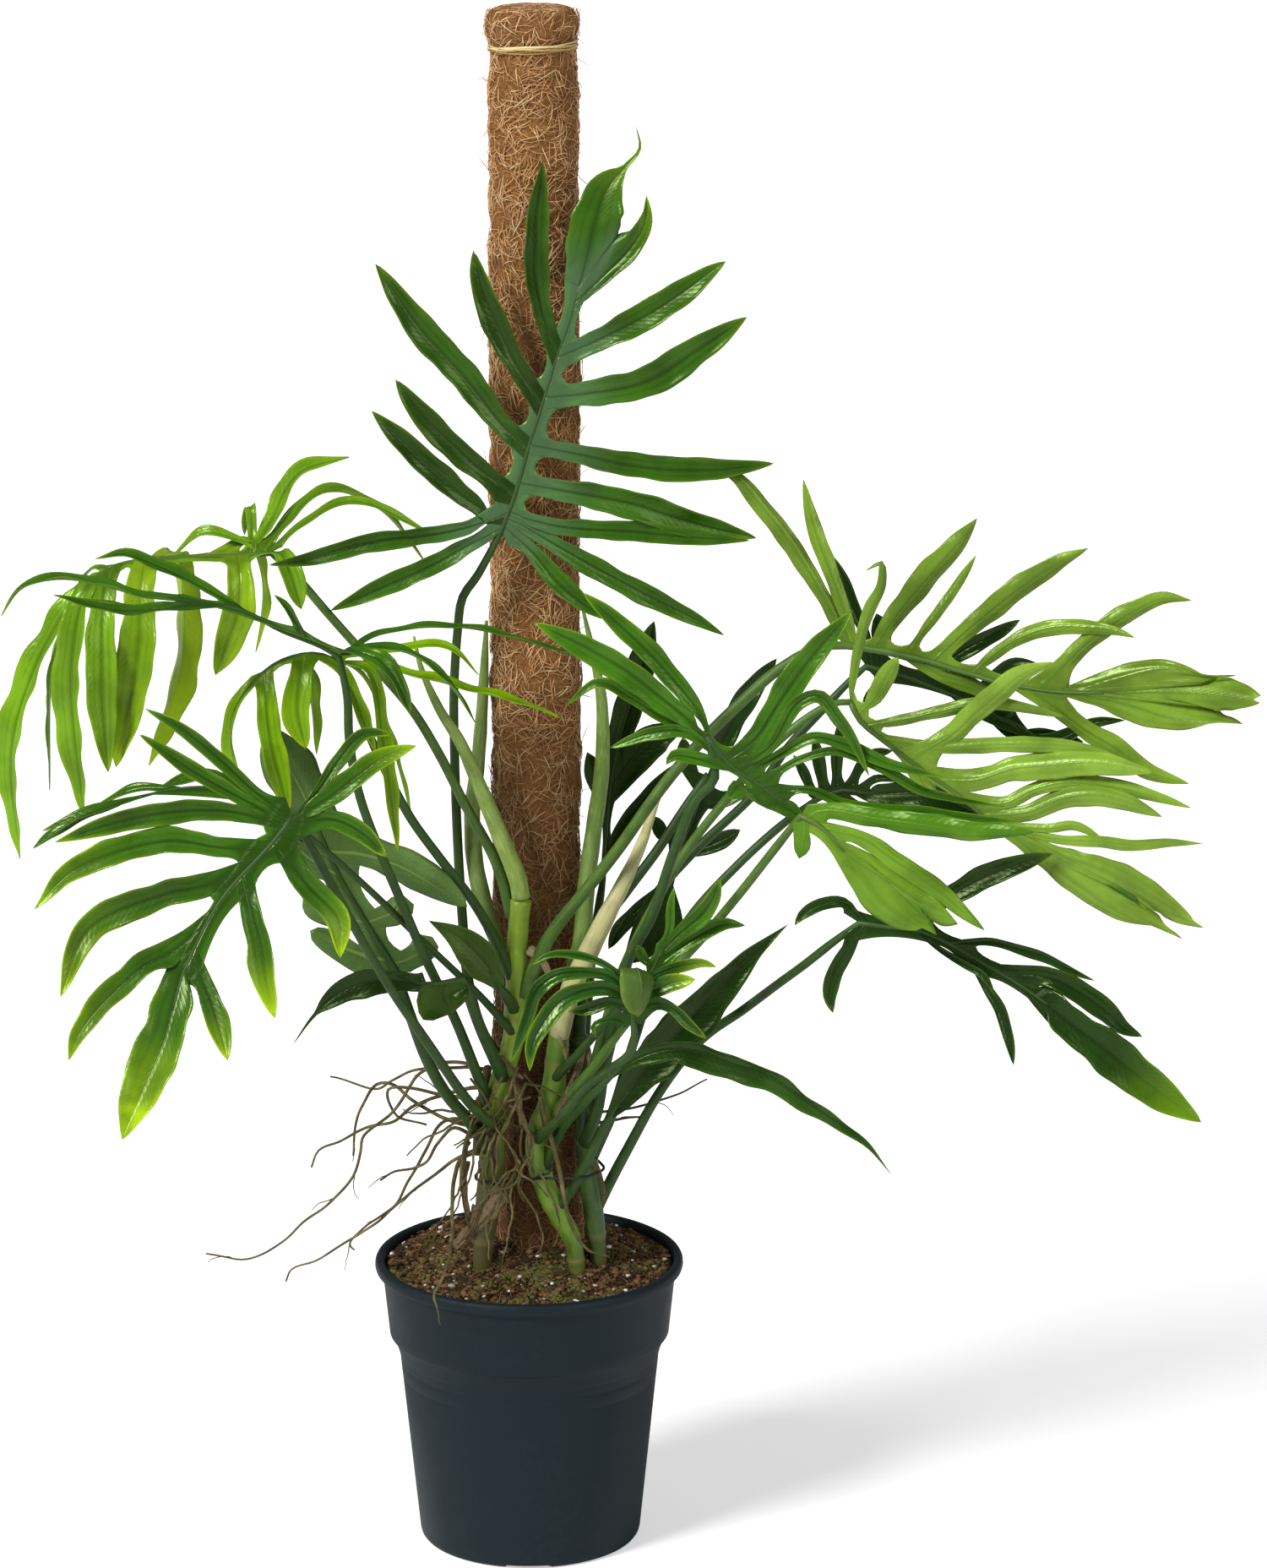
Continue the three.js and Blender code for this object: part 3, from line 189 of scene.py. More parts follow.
def put(tree, kind, wires=None, **settings):
    made = tree.nodes.new("ShaderNode" + kind)
    for key, value in settings.items():
        setattr(made, key, value)
    for key, value in (wires or {}).items():
        if isinstance(value, Value):
            value = value.socket
        if isinstance(value, bpy.types.NodeSocket):
            tree.links.new(value, made.inputs[key])
        else:
            made.inputs[key].default_value = value
    return made


class Value:
    # a value in a shader tree that adds and multiplies like a number

    def __init__(self, socket):
        self.socket = socket

    def __add__(self, other):
        return maths("ADD", self, other)

    def __mul__(self, other):
        return maths("MULTIPLY", self, other)

    def __sub__(self, other):
        return maths("SUBTRACT", self, other)

    def __rsub__(self, other):
        return maths("SUBTRACT", other, self)

    def __pow__(self, other):
        return maths("POWER", self, other)

    def __abs__(self):
        return maths("ABSOLUTE", self)

    __radd__ = __add__


def maths(kind, first, second=0.0):
    tree = (first if isinstance(first, Value) else second).socket.id_data
    return Value(put(tree, "Math", {0: first, 1: second}, operation=kind).outputs[0])


def ramp(value, low, high, first=0.0, last=1.0):
    # goes softly from first to last while the value goes from low to high
    made = put(value.socket.id_data, "MapRange", {"Value": value, "From Min": low, "From Max": high, "To Min": first,
                                                  "To Max": last}, interpolation_type="SMOOTHSTEP")
    return Value(made.outputs[0])


def blend(share, a, b):
    # colour a, with a share of colour b
    return Value(put(share.socket.id_data, "Mix", {0: share, 6: a, 7: b}, data_type="RGBA").outputs[2])


def held(value):
    # the value kept between 0 and 1
    return Value(put(value.socket.id_data, "Clamp", {0: value}).outputs[0])


class Effect:
    # a node group that gives a finish its colour, roughness and height

    def __init__(self, name, **inputs):
        self.tree = bpy.data.node_groups.new(name, "ShaderNodeTree")
        for label, value in inputs.items():
            kind = "Color" if isinstance(value, str) else "Float"
            made = self.tree.interface.new_socket(label, in_out="INPUT", socket_type="NodeSocket" + kind)
            made.default_value = colour(value) if isinstance(value, str) else value
        for label, kind in (("Colour", "Color"), ("Roughness", "Float"), ("Height", "Float")):
            self.tree.interface.new_socket(label, in_out="OUTPUT", socket_type="NodeSocket" + kind)
        self.given = self.tree.nodes.new("NodeGroupInput").outputs

    def __getitem__(self, label):
        return Value(self.given[label])

    def mark(self, name):
        return Value(put(self.tree, "Attribute", attribute_name=name).outputs["Fac"])

    def spot(self):
        return put(self.tree, "TexCoord").outputs["Object"]

    def grain(self, scale, detail=3.0, rough=0.55, vector=None, warp=0.0):
        return Value(put(self.tree, "TexNoise", {
            "Vector": vector or self.spot(), "Scale": scale, "Detail": detail, "Roughness": rough,
            "Distortion": warp}).outputs["Fac"])

    def cells(self, scale, feature="F1"):
        return Value(put(self.tree, "TexVoronoi", {"Vector": self.spot(), "Scale": scale},
                         feature=feature).outputs["Distance"])

    def give(self, shade, roughness, height):
        out = self.tree.nodes.new("NodeGroupOutput").inputs
        for label, value in (("Colour", shade), ("Roughness", roughness), ("Height", height)):
            self.tree.links.new(value.socket, out[label])
        return self.tree


def finishOf(name, group, bump, gloss, tint=(1, 1, 1, 1), coat=0.0, **settings):
    # a finish made of one group: its colour and roughness, a bump from its height, and the shader's own gloss
    made = bpy.data.materials.new(name)
    made.use_nodes = True
    tree = made.node_tree
    tree.nodes.clear()
    parts = put(tree, "Group", node_tree=group)
    for key, value in settings.items():
        parts.inputs[key].default_value = colour(value) if isinstance(value, str) else value
    rise = put(tree, "Bump", {"Height": parts.outputs["Height"], "Distance": bump * 0.001})
    skin = put(tree, "BsdfPrincipled", {
        "Base Color": parts.outputs["Colour"], "Roughness": parts.outputs["Roughness"],
        "Specular IOR Level": gloss, "Specular Tint": tint, "Coat Weight": coat, "Normal": rise.outputs["Normal"]})
    put(tree, "OutputMaterial", {"Surface": skin.outputs[0]})
    return made


def leafTissue():
    leaf = Effect("leaf tissue", Blade="#2c5c22", Young="#8db52a", Vein="#6f9a4a", Margin=0.5, Veins=0.5, Net=0.0,
                  Ridge=-1.0, FoldShade=1.0, Bloom=0.1, Dull=0.4)
    offset, edge, span, tone = abs(leaf.mark("offset")), leaf.mark("edge"), leaf.mark("span"), leaf.mark("tone")

    # patchy deeper and lighter tissue, and a lighter or darker finger here and there at random, darker still where a
    # finger is given painted shade
    depth = ramp(leaf.grain(26), 0.35, 0.68, 0.72, 1.18) * (1 + tone * 0.16)
    # painted shade: darker in the fold down the middle and in a soft crease half way out
    foldShade = (ramp(abs(edge - 0.5), 0.0, 0.14, 0.16, 0.0) + ramp(edge, 0.0, 0.3, 0.36, -0.06)) * leaf["FoldShade"]
    depth = depth * (1 - foldShade)
    shade = blend(1 - depth * 0.8, leaf["Blade"], (0.004, 0.012, 0.002, 1))

    # a painted grey-green sheen near the rib, in place of a highlight, not on the darkest fingers
    near = ramp(span, 0.02, 0.35, 1.0, 0.0) * ramp(tone, -2.2, -0.8)
    shade = blend(near * leaf["Bloom"], shade, colour("#779a78"))

    # yellow-green towards margins and tips, and where a point is marked as lime
    rim = edge ** 6.0 * ramp(span, 0.4, 0.95, 0.3, 1.0)
    young = (rim + ramp(span, 0.86, 1.0) * 0.7) * leaf["Margin"] + leaf.mark("lime")
    young = held(young * ramp(leaf.grain(22), 0.32, 0.6, 0.35, 1.15))
    shade = blend(young, shade, leaf["Young"])

    # a vein down the middle of each finger, finer ones slanting off it, and a fine net; where the vein colour is darker
    # than the blade, it is painted shade in the groove along the vein
    middle = ramp(offset, 1.1, 0.2) * ramp(span, 0.95, 0.3, 0.15, 1.0)
    slant = (leaf.mark("along") - offset * 1.5) * 1.05
    wave = maths("SINE", slant)
    slanting = ramp(wave, 0.72, 1.0) * ramp(edge, 0.95, 0.6)
    net = ramp(leaf.cells(620.0, "DISTANCE_TO_EDGE"), 0.1, 0.0)
    lines = maths("MAXIMUM", middle, slanting * 0.12 + net * leaf["Net"]) * leaf["Veins"]
    return leaf.give(blend(lines, shade, leaf["Vein"]), leaf["Dull"] + (leaf.grain(60) - 0.55) * 0.26,
                     (middle + ramp(wave, -0.4, 1.0) * 0.16) * leaf["Ridge"] + leaf.grain(230, 4) * 0.55)


def stemSkin():
    stem = Effect("stem skin", Skin="#5f8f2c", Streak="#8fae55", Scar="#b8a878", Old="#4d4a26", Streaks=0.5,
                  Dull=0.42)
    lie = put(stem.tree, "CombineXYZ", {0: stem.mark("along") * 0.012, 1: stem.mark("turn") * 1.1,
                                        2: stem.mark("tone")}).outputs[0]
    streak, patch = stem.grain(6.0, 3, 0.6, lie), stem.grain(45)
    shade = blend(ramp(streak, 0.42, 0.72) * stem["Streaks"], stem["Skin"], stem["Streak"])
    shade = blend(ramp(patch, 0.45, 0.75, 0.0, 0.35), shade, (0.01, 0.02, 0.005, 1))
    shade = blend(ramp(stem.cells(330.0), 0.22, 0.1) * 0.25, shade, stem["Streak"])
    old = ramp(stem.mark("age") + stem.grain(28, 4) * 0.5, 0.35, 1.15)
    shade = blend(old, shade, stem["Old"])
    scar = stem.mark("scar") * ramp(stem.grain(240, 4), 0.3, 0.6, 0.55, 1.0)
    return stem.give(blend(scar, shade, stem["Scar"]), stem["Dull"] + (scar * 0.35 + patch * 0.12),
                     streak * 0.6 + stem.grain(400, 3) * (0.2 + scar))


def dryFibre():
    dry = Effect("dry fibre", Brown="#97683f", Dark="#3a2413", Straw="#d8b878", Damp="#4b3119", Scale=300.0)
    tone = dry.mark("tone")
    strands = dry.grain(dry["Scale"], 5, 0.7, warp=2.5)
    shade = blend(ramp(strands, 0.3, 0.56), dry["Dark"], dry["Brown"])
    # a high tone blends in straw and a low one dark; on the coir fibres the tone also carries painted highlight and
    # painted shade
    shade = blend(ramp(tone, 0.45, 1.0, 0.0, 0.9), shade, dry["Straw"])
    shade = blend(ramp(tone, 0.4, 0.0, 0.0, 0.8), shade, dry["Dark"])
    shade = blend(ramp(dry.grain(18), 0.5, 0.75, 0.0, 0.3), shade, dry["Dark"])
    shade = blend(dry.mark("damp"), shade, dry["Damp"])
    return dry.give(shade, ramp(strands, 0.2, 0.8, 0.95, 0.7), strands)


def pottingMix():
    earth = Effect("potting mix", Peat="#46351f", Rust="#96714a", Moss="#71763a", Mossy=0.85)
    fine, tone, moss = earth.grain(420, 6, 0.7), earth.mark("tone"), earth.mark("moss")
    shade = blend(ramp(fine, 0.35, 0.7), earth["Peat"], earth["Rust"])
    shade = blend(ramp(tone, 0.5, 0.0, 0.0, 0.85), shade, (0.012, 0.008, 0.005, 1))
    shade = blend(ramp(tone, 0.6, 1.0, 0.0, 0.85), shade, earth["Rust"])
    # patches of green, and moss wherever its mark is over 1
    green = ramp(earth.grain(30, 4), 0.5, 0.66) * ramp(fine, 0.3, 0.6, 0.4, 1.0) * earth["Mossy"] * moss
    green = held(green + ramp(moss, 1.0, 2.0))
    return earth.give(blend(green, shade, earth["Moss"]), ramp(fine, 0.2, 0.8, 1.0, 0.8), fine)


def mouldedPlastic():
    mould = Effect("moulded plastic", Plastic="#1a2226", Dust="#363d3f", Dusty=0.1)
    smear, fleck = mould.grain(9, 4, 0.6), mould.grain(160, 5, 0.6)
    dust = ramp(smear * fleck, 0.22, 0.42) * mould["Dusty"]
    return mould.give(blend(dust, mould["Plastic"], mould["Dust"]), ramp(smear, 0.3, 0.7, 0.42, 0.56) + dust * 0.3,
                      mould.grain(900, 2) * 0.6 + smear * 0.6)


tissue, skin, fibre, mix, plastic = leafTissue(), stemSkin(), dryFibre(), pottingMix(), mouldedPlastic()

# ---- leaves

# finishes of the leaves that turn their underside to the front
paleSides = ("paleGreen", "oliveGreen", "greyGreen", "twoGreen")

# half: columns at each side of a finger's middle; trough, pleat and ripple shape it across; tilt is in degrees
# base: the share of its width that a finger takes up on the rib at each side; closeGap: fingers nearer than this join
blade = {"thick": 0.7, "rowStep": 4.4, "half": 5, "trough": 0.44, "pleat": 0.5, "ripple": 1.4, "rippleLong": 38,
         "tilt": 11, "swell": 0.09, "base": 0.36, "closeGap": 5}


def leaf(name, finish, near, stalk, rib, lobes, end, lean=(0, 0), face=(0, -1, 0.2), web=9, stalkThick=4):
    # near: its depth at the foot of the rib; lean: how that grows sideways and upwards; face: where it looks
    # web: how far the blade is whole next to the rib; end: the finger in which the rib runs out
    return {"name": name, "finish": finish, "near": near, "stalk": stalk, "rib": rib, "lobes": lobes,
            "end": end, "lean": lean, "face": unit(np.array(face, float)), "web": web, "stalkThick": stalkThick}


def lobe(at, wide, points, away=0, lime=(0, 0), notch=None, tail=0.0, blunt=0.0, deep=0.0):
    # one finger, from its place on the rib (0 to 1) through the points; away: how far back its tip goes
    # notch: where the cut between this finger and the next one ends, when they are joined for a way
    # tail: the share of the length that is drawn out thin at the tip; blunt: 1 for a rounded tip
    # lime: how yellow-green it is at its neck and at its tip; deep: how much darker than the others, as painted shade
    return {"at": at, "wide": wide, "points": points, "away": away, "lime": lime, "notch": notch, "tail": tail,
            "blunt": blunt, "deep": deep}


def fingerWidth(t, plain, tail, neck, blunt):
    # how wide a finger is along its length, from its neck to its tip
    body = min(1, t / (1 - tail)) if tail else t
    if plain:
        width = min(1, body / 0.34) ** 0.62 * math.cos(math.pi / 2 * max(0, (body - 0.3) / 0.7)) ** 1.1
    else:
        width = (neck + (1 - neck) * math.sin(math.pi / 2 * min(1, body / 0.58))) * (
            1 - max(0, (body - 0.5) / 0.5) ** (2.2 + blunt)) ** (0.85 - 0.4 * blunt)
    return max(width, 0.13 * min(1, (1 - t) / tail)) if tail else width


def twoSided(u, left, right):
    # one value for each side of a finger's middle
    return np.where(u < 0, left, right)


def finger(spec, part, index, roots, neck, line, far, reach=0.0, plain=False):
    # one finger's rows: out from the rib (roots) to its neck, then along its line to the tip
    half, face, ahead = blade["half"], spec["face"], headings(line)
    u = np.linspace(-1, 1, 2 * half + 1)
    across = np.cross(ahead[0], face)
    across = unit(across) * (1 if np.dot(across, neck[-1] - neck[0]) > 0 else -1)
    toward = 1 if np.dot(np.cross(ahead[0], across), face) > 0 else -1
    bend = blade["trough"] * (-1 if spec["finish"] in paleSides else 1) * (0.75 + 0.5 * rng.random())
    tilt = math.radians(blade["tilt"]) * (1 if index % 2 else -1)
    long = far[-1] - far[0]
    a, b, c, d = [anyWay() for _ in range(4)]
    skew = twoSided(u, rng.uniform(0.92, 1.06), rng.uniform(0.92, 1.06))
    rows = []
    if roots is not None:
        for k in range(half):
            share = k / half
            lift = 0.5 * math.sin(math.pi * share) * np.sin(np.pi * (u + 1) / 2)
            rows.append((roots + (neck - roots) * share + lift[:, None] * face, 0 * u,
                         u * part["wide"] * 0.3, reach * (share - 1), 0.0))
    neckShare = 0.5 if roots is None else 0.6
    shift, fade = None, 12.0
    for k, (middle, way, place) in enumerate(zip(line, ahead, far)):
        gone = place - far[0]
        t = gone / long
        across = unit(across - way * across.dot(way))
        turn = tilt * min(1, 2 * t) * toward
        lie = across * math.cos(turn) + np.cross(way, across) * math.sin(turn)
        up = np.cross(way, lie) * toward
        grow = min(1, t * 5) if plain else min(1, gone / 25)
        # its two margins swing in and out, and ripple, each in its own way
        swell = twoSided(u, math.sin(place / 9 + c) + 0.6 * math.sin(place / 3.7 + a),
                         math.sin(place / 8 + d) + 0.6 * math.sin(place / 4.1 + b))
        wave = twoSided(u, math.sin(place * 6.28 / blade["rippleLong"] + a),
                        math.sin(place * 5.3 / blade["rippleLong"] + b))
        wide = part["wide"] / 2 * fingerWidth(t, plain, part["tail"], neckShare, part["blunt"]) * skew
        wide = wide * (1 + blade["swell"] * grow * swell * (1 - t))
        rise = (bend * wide * np.abs(u) ** 1.5 * (0.35 + 0.65 * grow)
                + blade["ripple"] * grow * min(1, wide[0] / 7) * wave * u ** 2
                - blade["pleat"] * grow * min(1, wide[0] / 7) * np.cos(3 * math.pi * u) * (1 - 0.5 * t))
        row = middle + (u * wide)[:, None] * lie + rise[:, None] * up
        # the first rows are drawn to the neck
        if shift is None:
            shift = neck - row
            fade = max(9.0, 2.3 * np.linalg.norm(shift, axis=1).max())
        if gone < fade:
            row = row + shift * (1 - gone / fade) ** 2
        if k == len(line) - 1:
            row = row[half:half + 1]
        rows.append((row, np.abs(u) * grow, u * wide, place, t))
    # a finger's tone is random, lowered by its deep share of painted shade
    return {"rows": rows, "flip": toward > 0, "tone": rng.uniform(-1, 1) - 2 * part["deep"], "lime": part["lime"]}


def webStrip(spec, ribAt, first, last, fromPoint, toPoint):
    # the web that runs along the rib between two fingers
    half = blade["half"]
    count = max(2, round(np.linalg.norm(toPoint - fromPoint) / 5)) + 1
    u = np.linspace(0, 1, count)
    roots = np.array([ribAt(first + (last - first) * s) for s in u])
    sag = (np.mean(roots, axis=0) - (fromPoint + toPoint) / 2) * 0.3
    outer = fromPoint + (toPoint - fromPoint) * u[:, None] + sag * (4 * u * (1 - u))[:, None]
    rows = [(roots + (outer - roots) * k / half, 0 * u + (k / half) ** 3, 0 * u + 20.0, 0.0, 0.0)
            for k in range(half + 1)]
    turn = np.cross(roots[-1] - roots[0], outer[0] - roots[0])
    return {"rows": rows, "flip": np.dot(turn, spec["face"]) < 0, "tone": 0.0, "lime": (0, 0)}


def leafSheet(spec):
    # the leaf's blade as grids of rows, all sharing the points they meet at
    baseX, baseZ = spec["rib"][0][:2]
    leanX, leanZ = spec["lean"]

    def place(point, away=0.0):
        x, z, y = (list(point) + [0])[:3]
        return seen(x, z, spec["near"] + leanX * (x - baseX) + leanZ * (z - baseZ) + y + away)

    rib = np.array([place(p) for p in spec["rib"]])
    face, web, half, step, last = spec["face"], spec["web"], blade["half"], blade["rowStep"], spec["end"]
    endPath = [place(p) for p in last["points"]]
    if not spec["lobes"]:
        line, far = evenLine(list(rib) + endPath, step)
        across = unit(np.cross(headings(line)[0], face))
        neck = line[0] + np.linspace(-1, 1, 2 * half + 1)[:, None] * across * 1.2
        return [finger(spec, last, 0, None, neck, line, far, plain=True)], rib

    ribLong = evenLine(rib, 5)[1][-1]

    def ribAt(t):
        return curveAt(rib, [t])[0]

    def ribWay(t):
        return unit(ribAt(min(1, t + 0.02)) - ribAt(max(0, t - 0.02)))

    def close(a, b, gap=blade["closeGap"]):
        return (b - a) * ribLong < gap

    sides = {-1: [], 1: []}
    for index, part in enumerate(spec["lobes"]):
        count = len(part["points"])
        path = [place(p, part["away"] * ((k + 1) / count) ** 2) for k, p in enumerate(part["points"])]
        side = 1 if np.dot(path[0] - ribAt(part["at"]), np.cross(ribWay(part["at"]), face)) > 0 else -1
        # the finger leaves the rib where it runs on straightest
        nearby = [t for t in np.linspace(part["at"] - 0.15, part["at"] + 0.03, 13) if 0 <= t <= 1]
        onward = unit(path[1] - path[0])
        at = max(nearby, key=lambda t: np.dot(unit(path[0] - ribAt(t)), onward) - 0.8 * abs(t - part["at"]))
        root = ribAt(at)
        out = unit(path[0] - root)
        slant = max(0.4, np.linalg.norm(np.cross(out, ribWay(at))))
        reach = blade["base"] * part["wide"] / slant / ribLong
        sides[side].append({"part": part, "index": index, "root": root, "path": path, "out": out,
                            "at": at, "from": at - reach, "to": at + reach})
    # the end finger takes over the rib above the last finger at its side
    top = min(1.0, max(p["to"] for parts in sides.values() for p in parts))
    top = 1.0 if close(top, 1, 6) else top
    endOut = max(web, 0.26 * last["wide"])
    grid, ends = [], {}
    for side, parts in sides.items():
        ends[side] = ribAt(top) + endOut * unit(side * unit(np.cross(ribWay(top), face)) + 0.4 * ribWay(top))
        if not parts:
            continue
        parts.sort(key=lambda p: p["at"])
        # where each finger's base begins and ends along the rib, and whether it meets the next one
        parts[0]["from"] = 0.0 if close(0, parts[0]["from"]) else parts[0]["from"]
        for a, b in zip(parts, parts[1:]):
            notch = a["part"]["notch"]
            if notch or close(a["to"], b["from"], 4):
                a["to"] = b["from"] = (a["at"] + b["at"]) / 2
                a["meet"] = b["meetBefore"] = place(notch) if notch else (
                    ribAt(a["to"]) + web * unit(a["out"] + b["out"]))
        tail = parts[-1]
        notch = tail["part"]["notch"]
        if notch or close(tail["to"], top):
            tail["to"] = top
            ends[side] = place(notch) if notch else ribAt(top) + endOut * unit(tail["out"] + 0.7 * ribWay(top))
            tail["meet"] = ends[side]
        for p, following in zip(parts, parts[1:] + [None]):
            whole = [p["root"], *p["path"]]
            reach = min(web, evenLine(whole, step)[1][-1] * 0.3)
            line, far = evenLine(whole, step, reach)
            before = p.get("meetBefore")
            if before is None:
                before = ribAt(p["from"]) + reach * (unit(p["out"] - 0.7 * ribWay(0)) if p["from"] == 0 else p["out"])
                if p is parts[0] and p["from"] > 0:
                    grid.append(webStrip(spec, ribAt, 0, p["from"], ribAt(0) + 0.3 * reach * p["out"], before))
            after = p.get("meet")
            if after is None:
                after = ribAt(p["to"]) + reach * p["out"]
                end, target = top, ends[side]
                if following:
                    nextLong = evenLine([following["root"], *following["path"]], step)[1][-1]
                    end = following["from"]
                    target = ribAt(end) + min(web, nextLong * 0.3) * following["out"]
                grid.append(webStrip(spec, ribAt, p["to"], end, after, target))
            u = np.linspace(0, 1, 2 * half + 1)
            roots = curveAt(rib, p["from"] + (p["to"] - p["from"]) * u)
            middle = 2 * line[0] - (before + after) / 2
            neck = (((1 - u) ** 2)[:, None] * before + (2 * u * (1 - u))[:, None] * middle
                    + (u ** 2)[:, None] * after)
            grid.append(finger(spec, p["part"], p["index"], roots, neck, line, far, reach))
    onward = [rib[-1]]
    if top < 1:
        onward = [ribAt(t) for t in np.linspace(top, 1, max(2, round((1 - top) * ribLong / 12) + 1))]
    line, far = evenLine(onward + endPath, step)
    steps = np.linspace(0, 1, half + 1)[:, None]
    neck = np.concatenate([ends[-1] + (line[0] - ends[-1]) * steps, (line[0] + (ends[1] - line[0]) * steps)[1:]])
    grid.append(finger(spec, last, len(spec["lobes"]), None, neck, line, far))
    return grid, rib


def shell(grid, thick):
    # gives the sheet its thickness: two faces and the edge between them
    points, faces, start = [], [], 0
    marks = {mark: [] for mark in ("edge", "offset", "along", "span", "tone", "lime")}
    for part in grid:
        starts = []
        for row, edge, offset, along, span in part["rows"]:
            n = len(row)
            starts.append((start, n))
            points.append(row)
            here = slice((len(edge) - n) // 2, (len(edge) - n) // 2 + n)
            lime = np.interp(np.clip((span - 0.3) / 0.6, 0, 1) ** 2, [0, 1], part["lime"])
            for kept, value in zip(marks.values(), (edge[here], offset[here], along, span, part["tone"], lime)):
                kept.append(np.broadcast_to(np.asarray(value, float), n))
            start += n
        for (a, n), (b, m) in zip(starts, starts[1:]):
            for k in range(n - 1):
                quad = (a + k, a + k + 1, b + k + 1, b + k) if m == n else (a + k, a + k + 1, b)
                faces.append(quad[::-1] if part["flip"] else quad)
    # points that several grids share become one
    points = np.concatenate(points)
    _, first, same = np.unique(np.round(points, 3), axis=0, return_index=True, return_inverse=True)
    same, points = same.ravel(), points[first]
    marks = {key: np.concatenate(kept)[first] for key, kept in marks.items()}
    whole = []
    for face in faces:
        ring = [same[i] for i in face]
        ring = [i for k, i in enumerate(ring) if i != ring[k - 1]]
        if len(set(ring)) > 2:
            whole.append(tuple(ring))
    normals = np.zeros_like(points)
    for face in whole:
        p = points[list(face)]
        turn = np.cross(p[2] - p[0], p[-1] - p[1]) if len(face) == 4 else np.cross(p[1] - p[0], p[2] - p[0])
        for i in face:
            normals[i] += turn
    normals /= np.maximum(np.linalg.norm(normals, axis=1), 1e-9)[:, None]
    count = len(points)
    # a little thinner at the margins
    deep = thick / 2 * (1 - 0.3 * marks["edge"] ** 4)[:, None]
    edges = {}
    for face in whole:
        for a, b in zip(face, face[1:] + face[:1]):
            edges[(a, b)] = True
    rim = [(b, a, a + count, b + count) for a, b in edges if (b, a) not in edges]
    back = [tuple(i + count for i in face[::-1]) for face in whole]
    marks = {key: np.concatenate([kept, kept]) for key, kept in marks.items()}
    return np.concatenate([points + normals * deep, points - normals * deep]), whole, rim, back, marks


def alongBar(line, far, sides):
    # how far along a bar and how far round it each of its points lies
    return {"along": np.append(np.repeat(far, sides), [0, far[-1]]),
            "turn": np.append(np.tile(np.linspace(-1, 1, sides), len(line)), [0, 0])}


def growLeaf(spec):
    # the blade's two faces and its stalk, as parts 0, 1 and 2 of a heap
    grid, rib = leafSheet(spec)
    points, front, rim, back, marks = shell(grid, blade["thick"])
    heap = Heap("edge", "offset", "along", "span", "tone", "lime", "turn", "scar")
    heap.add(points, front + rim + back, 0, **marks)
    heap.parts = [0] * (len(front) + len(rim)) + [1] * len(back)
    # the stalk, running on as the leaf's rib, which lies a little in the blade
    stalk = [seen(*p) for p in spec["stalk"]]
    thick = spec["stalkThick"]
    sink = spec["face"] * (0.5 if spec["finish"] in paleSides else -0.4)
    ribLine, ribFar = evenLine(rib, 8)
    ribRadii = np.interp(ribFar, [0, ribFar[-1]], [thick * 0.55, 0.9])
    ribLine = ribLine + sink * ribRadii[:, None]
    joins = np.dot(stalk[-1] - stalk[-2], rib[1] - rib[0]) > 0
    stalkLine, stalkFar = evenLine(stalk + [ribLine[0]], 8)
    shares = [1.3, 1.08, 0.95, 0.82, 0.6]
    stalkRadii = np.interp(stalkFar / stalkFar[-1], [0, 0.06, 0.25, 0.9, 1], [thick * share for share in shares])
    runs = [(stalkLine, stalkRadii), (ribLine, ribRadii)]
    if joins:
        runs = [(np.vstack([stalkLine, ribLine[1:]]), np.concatenate([stalkRadii, ribRadii[1:]]))]
    sides = 10
    for line, radii in runs:
        heap.addBar(line, radii, sides, 2, **alongBar(line, farAlong(line), sides), tone=rng.random())
    return heap


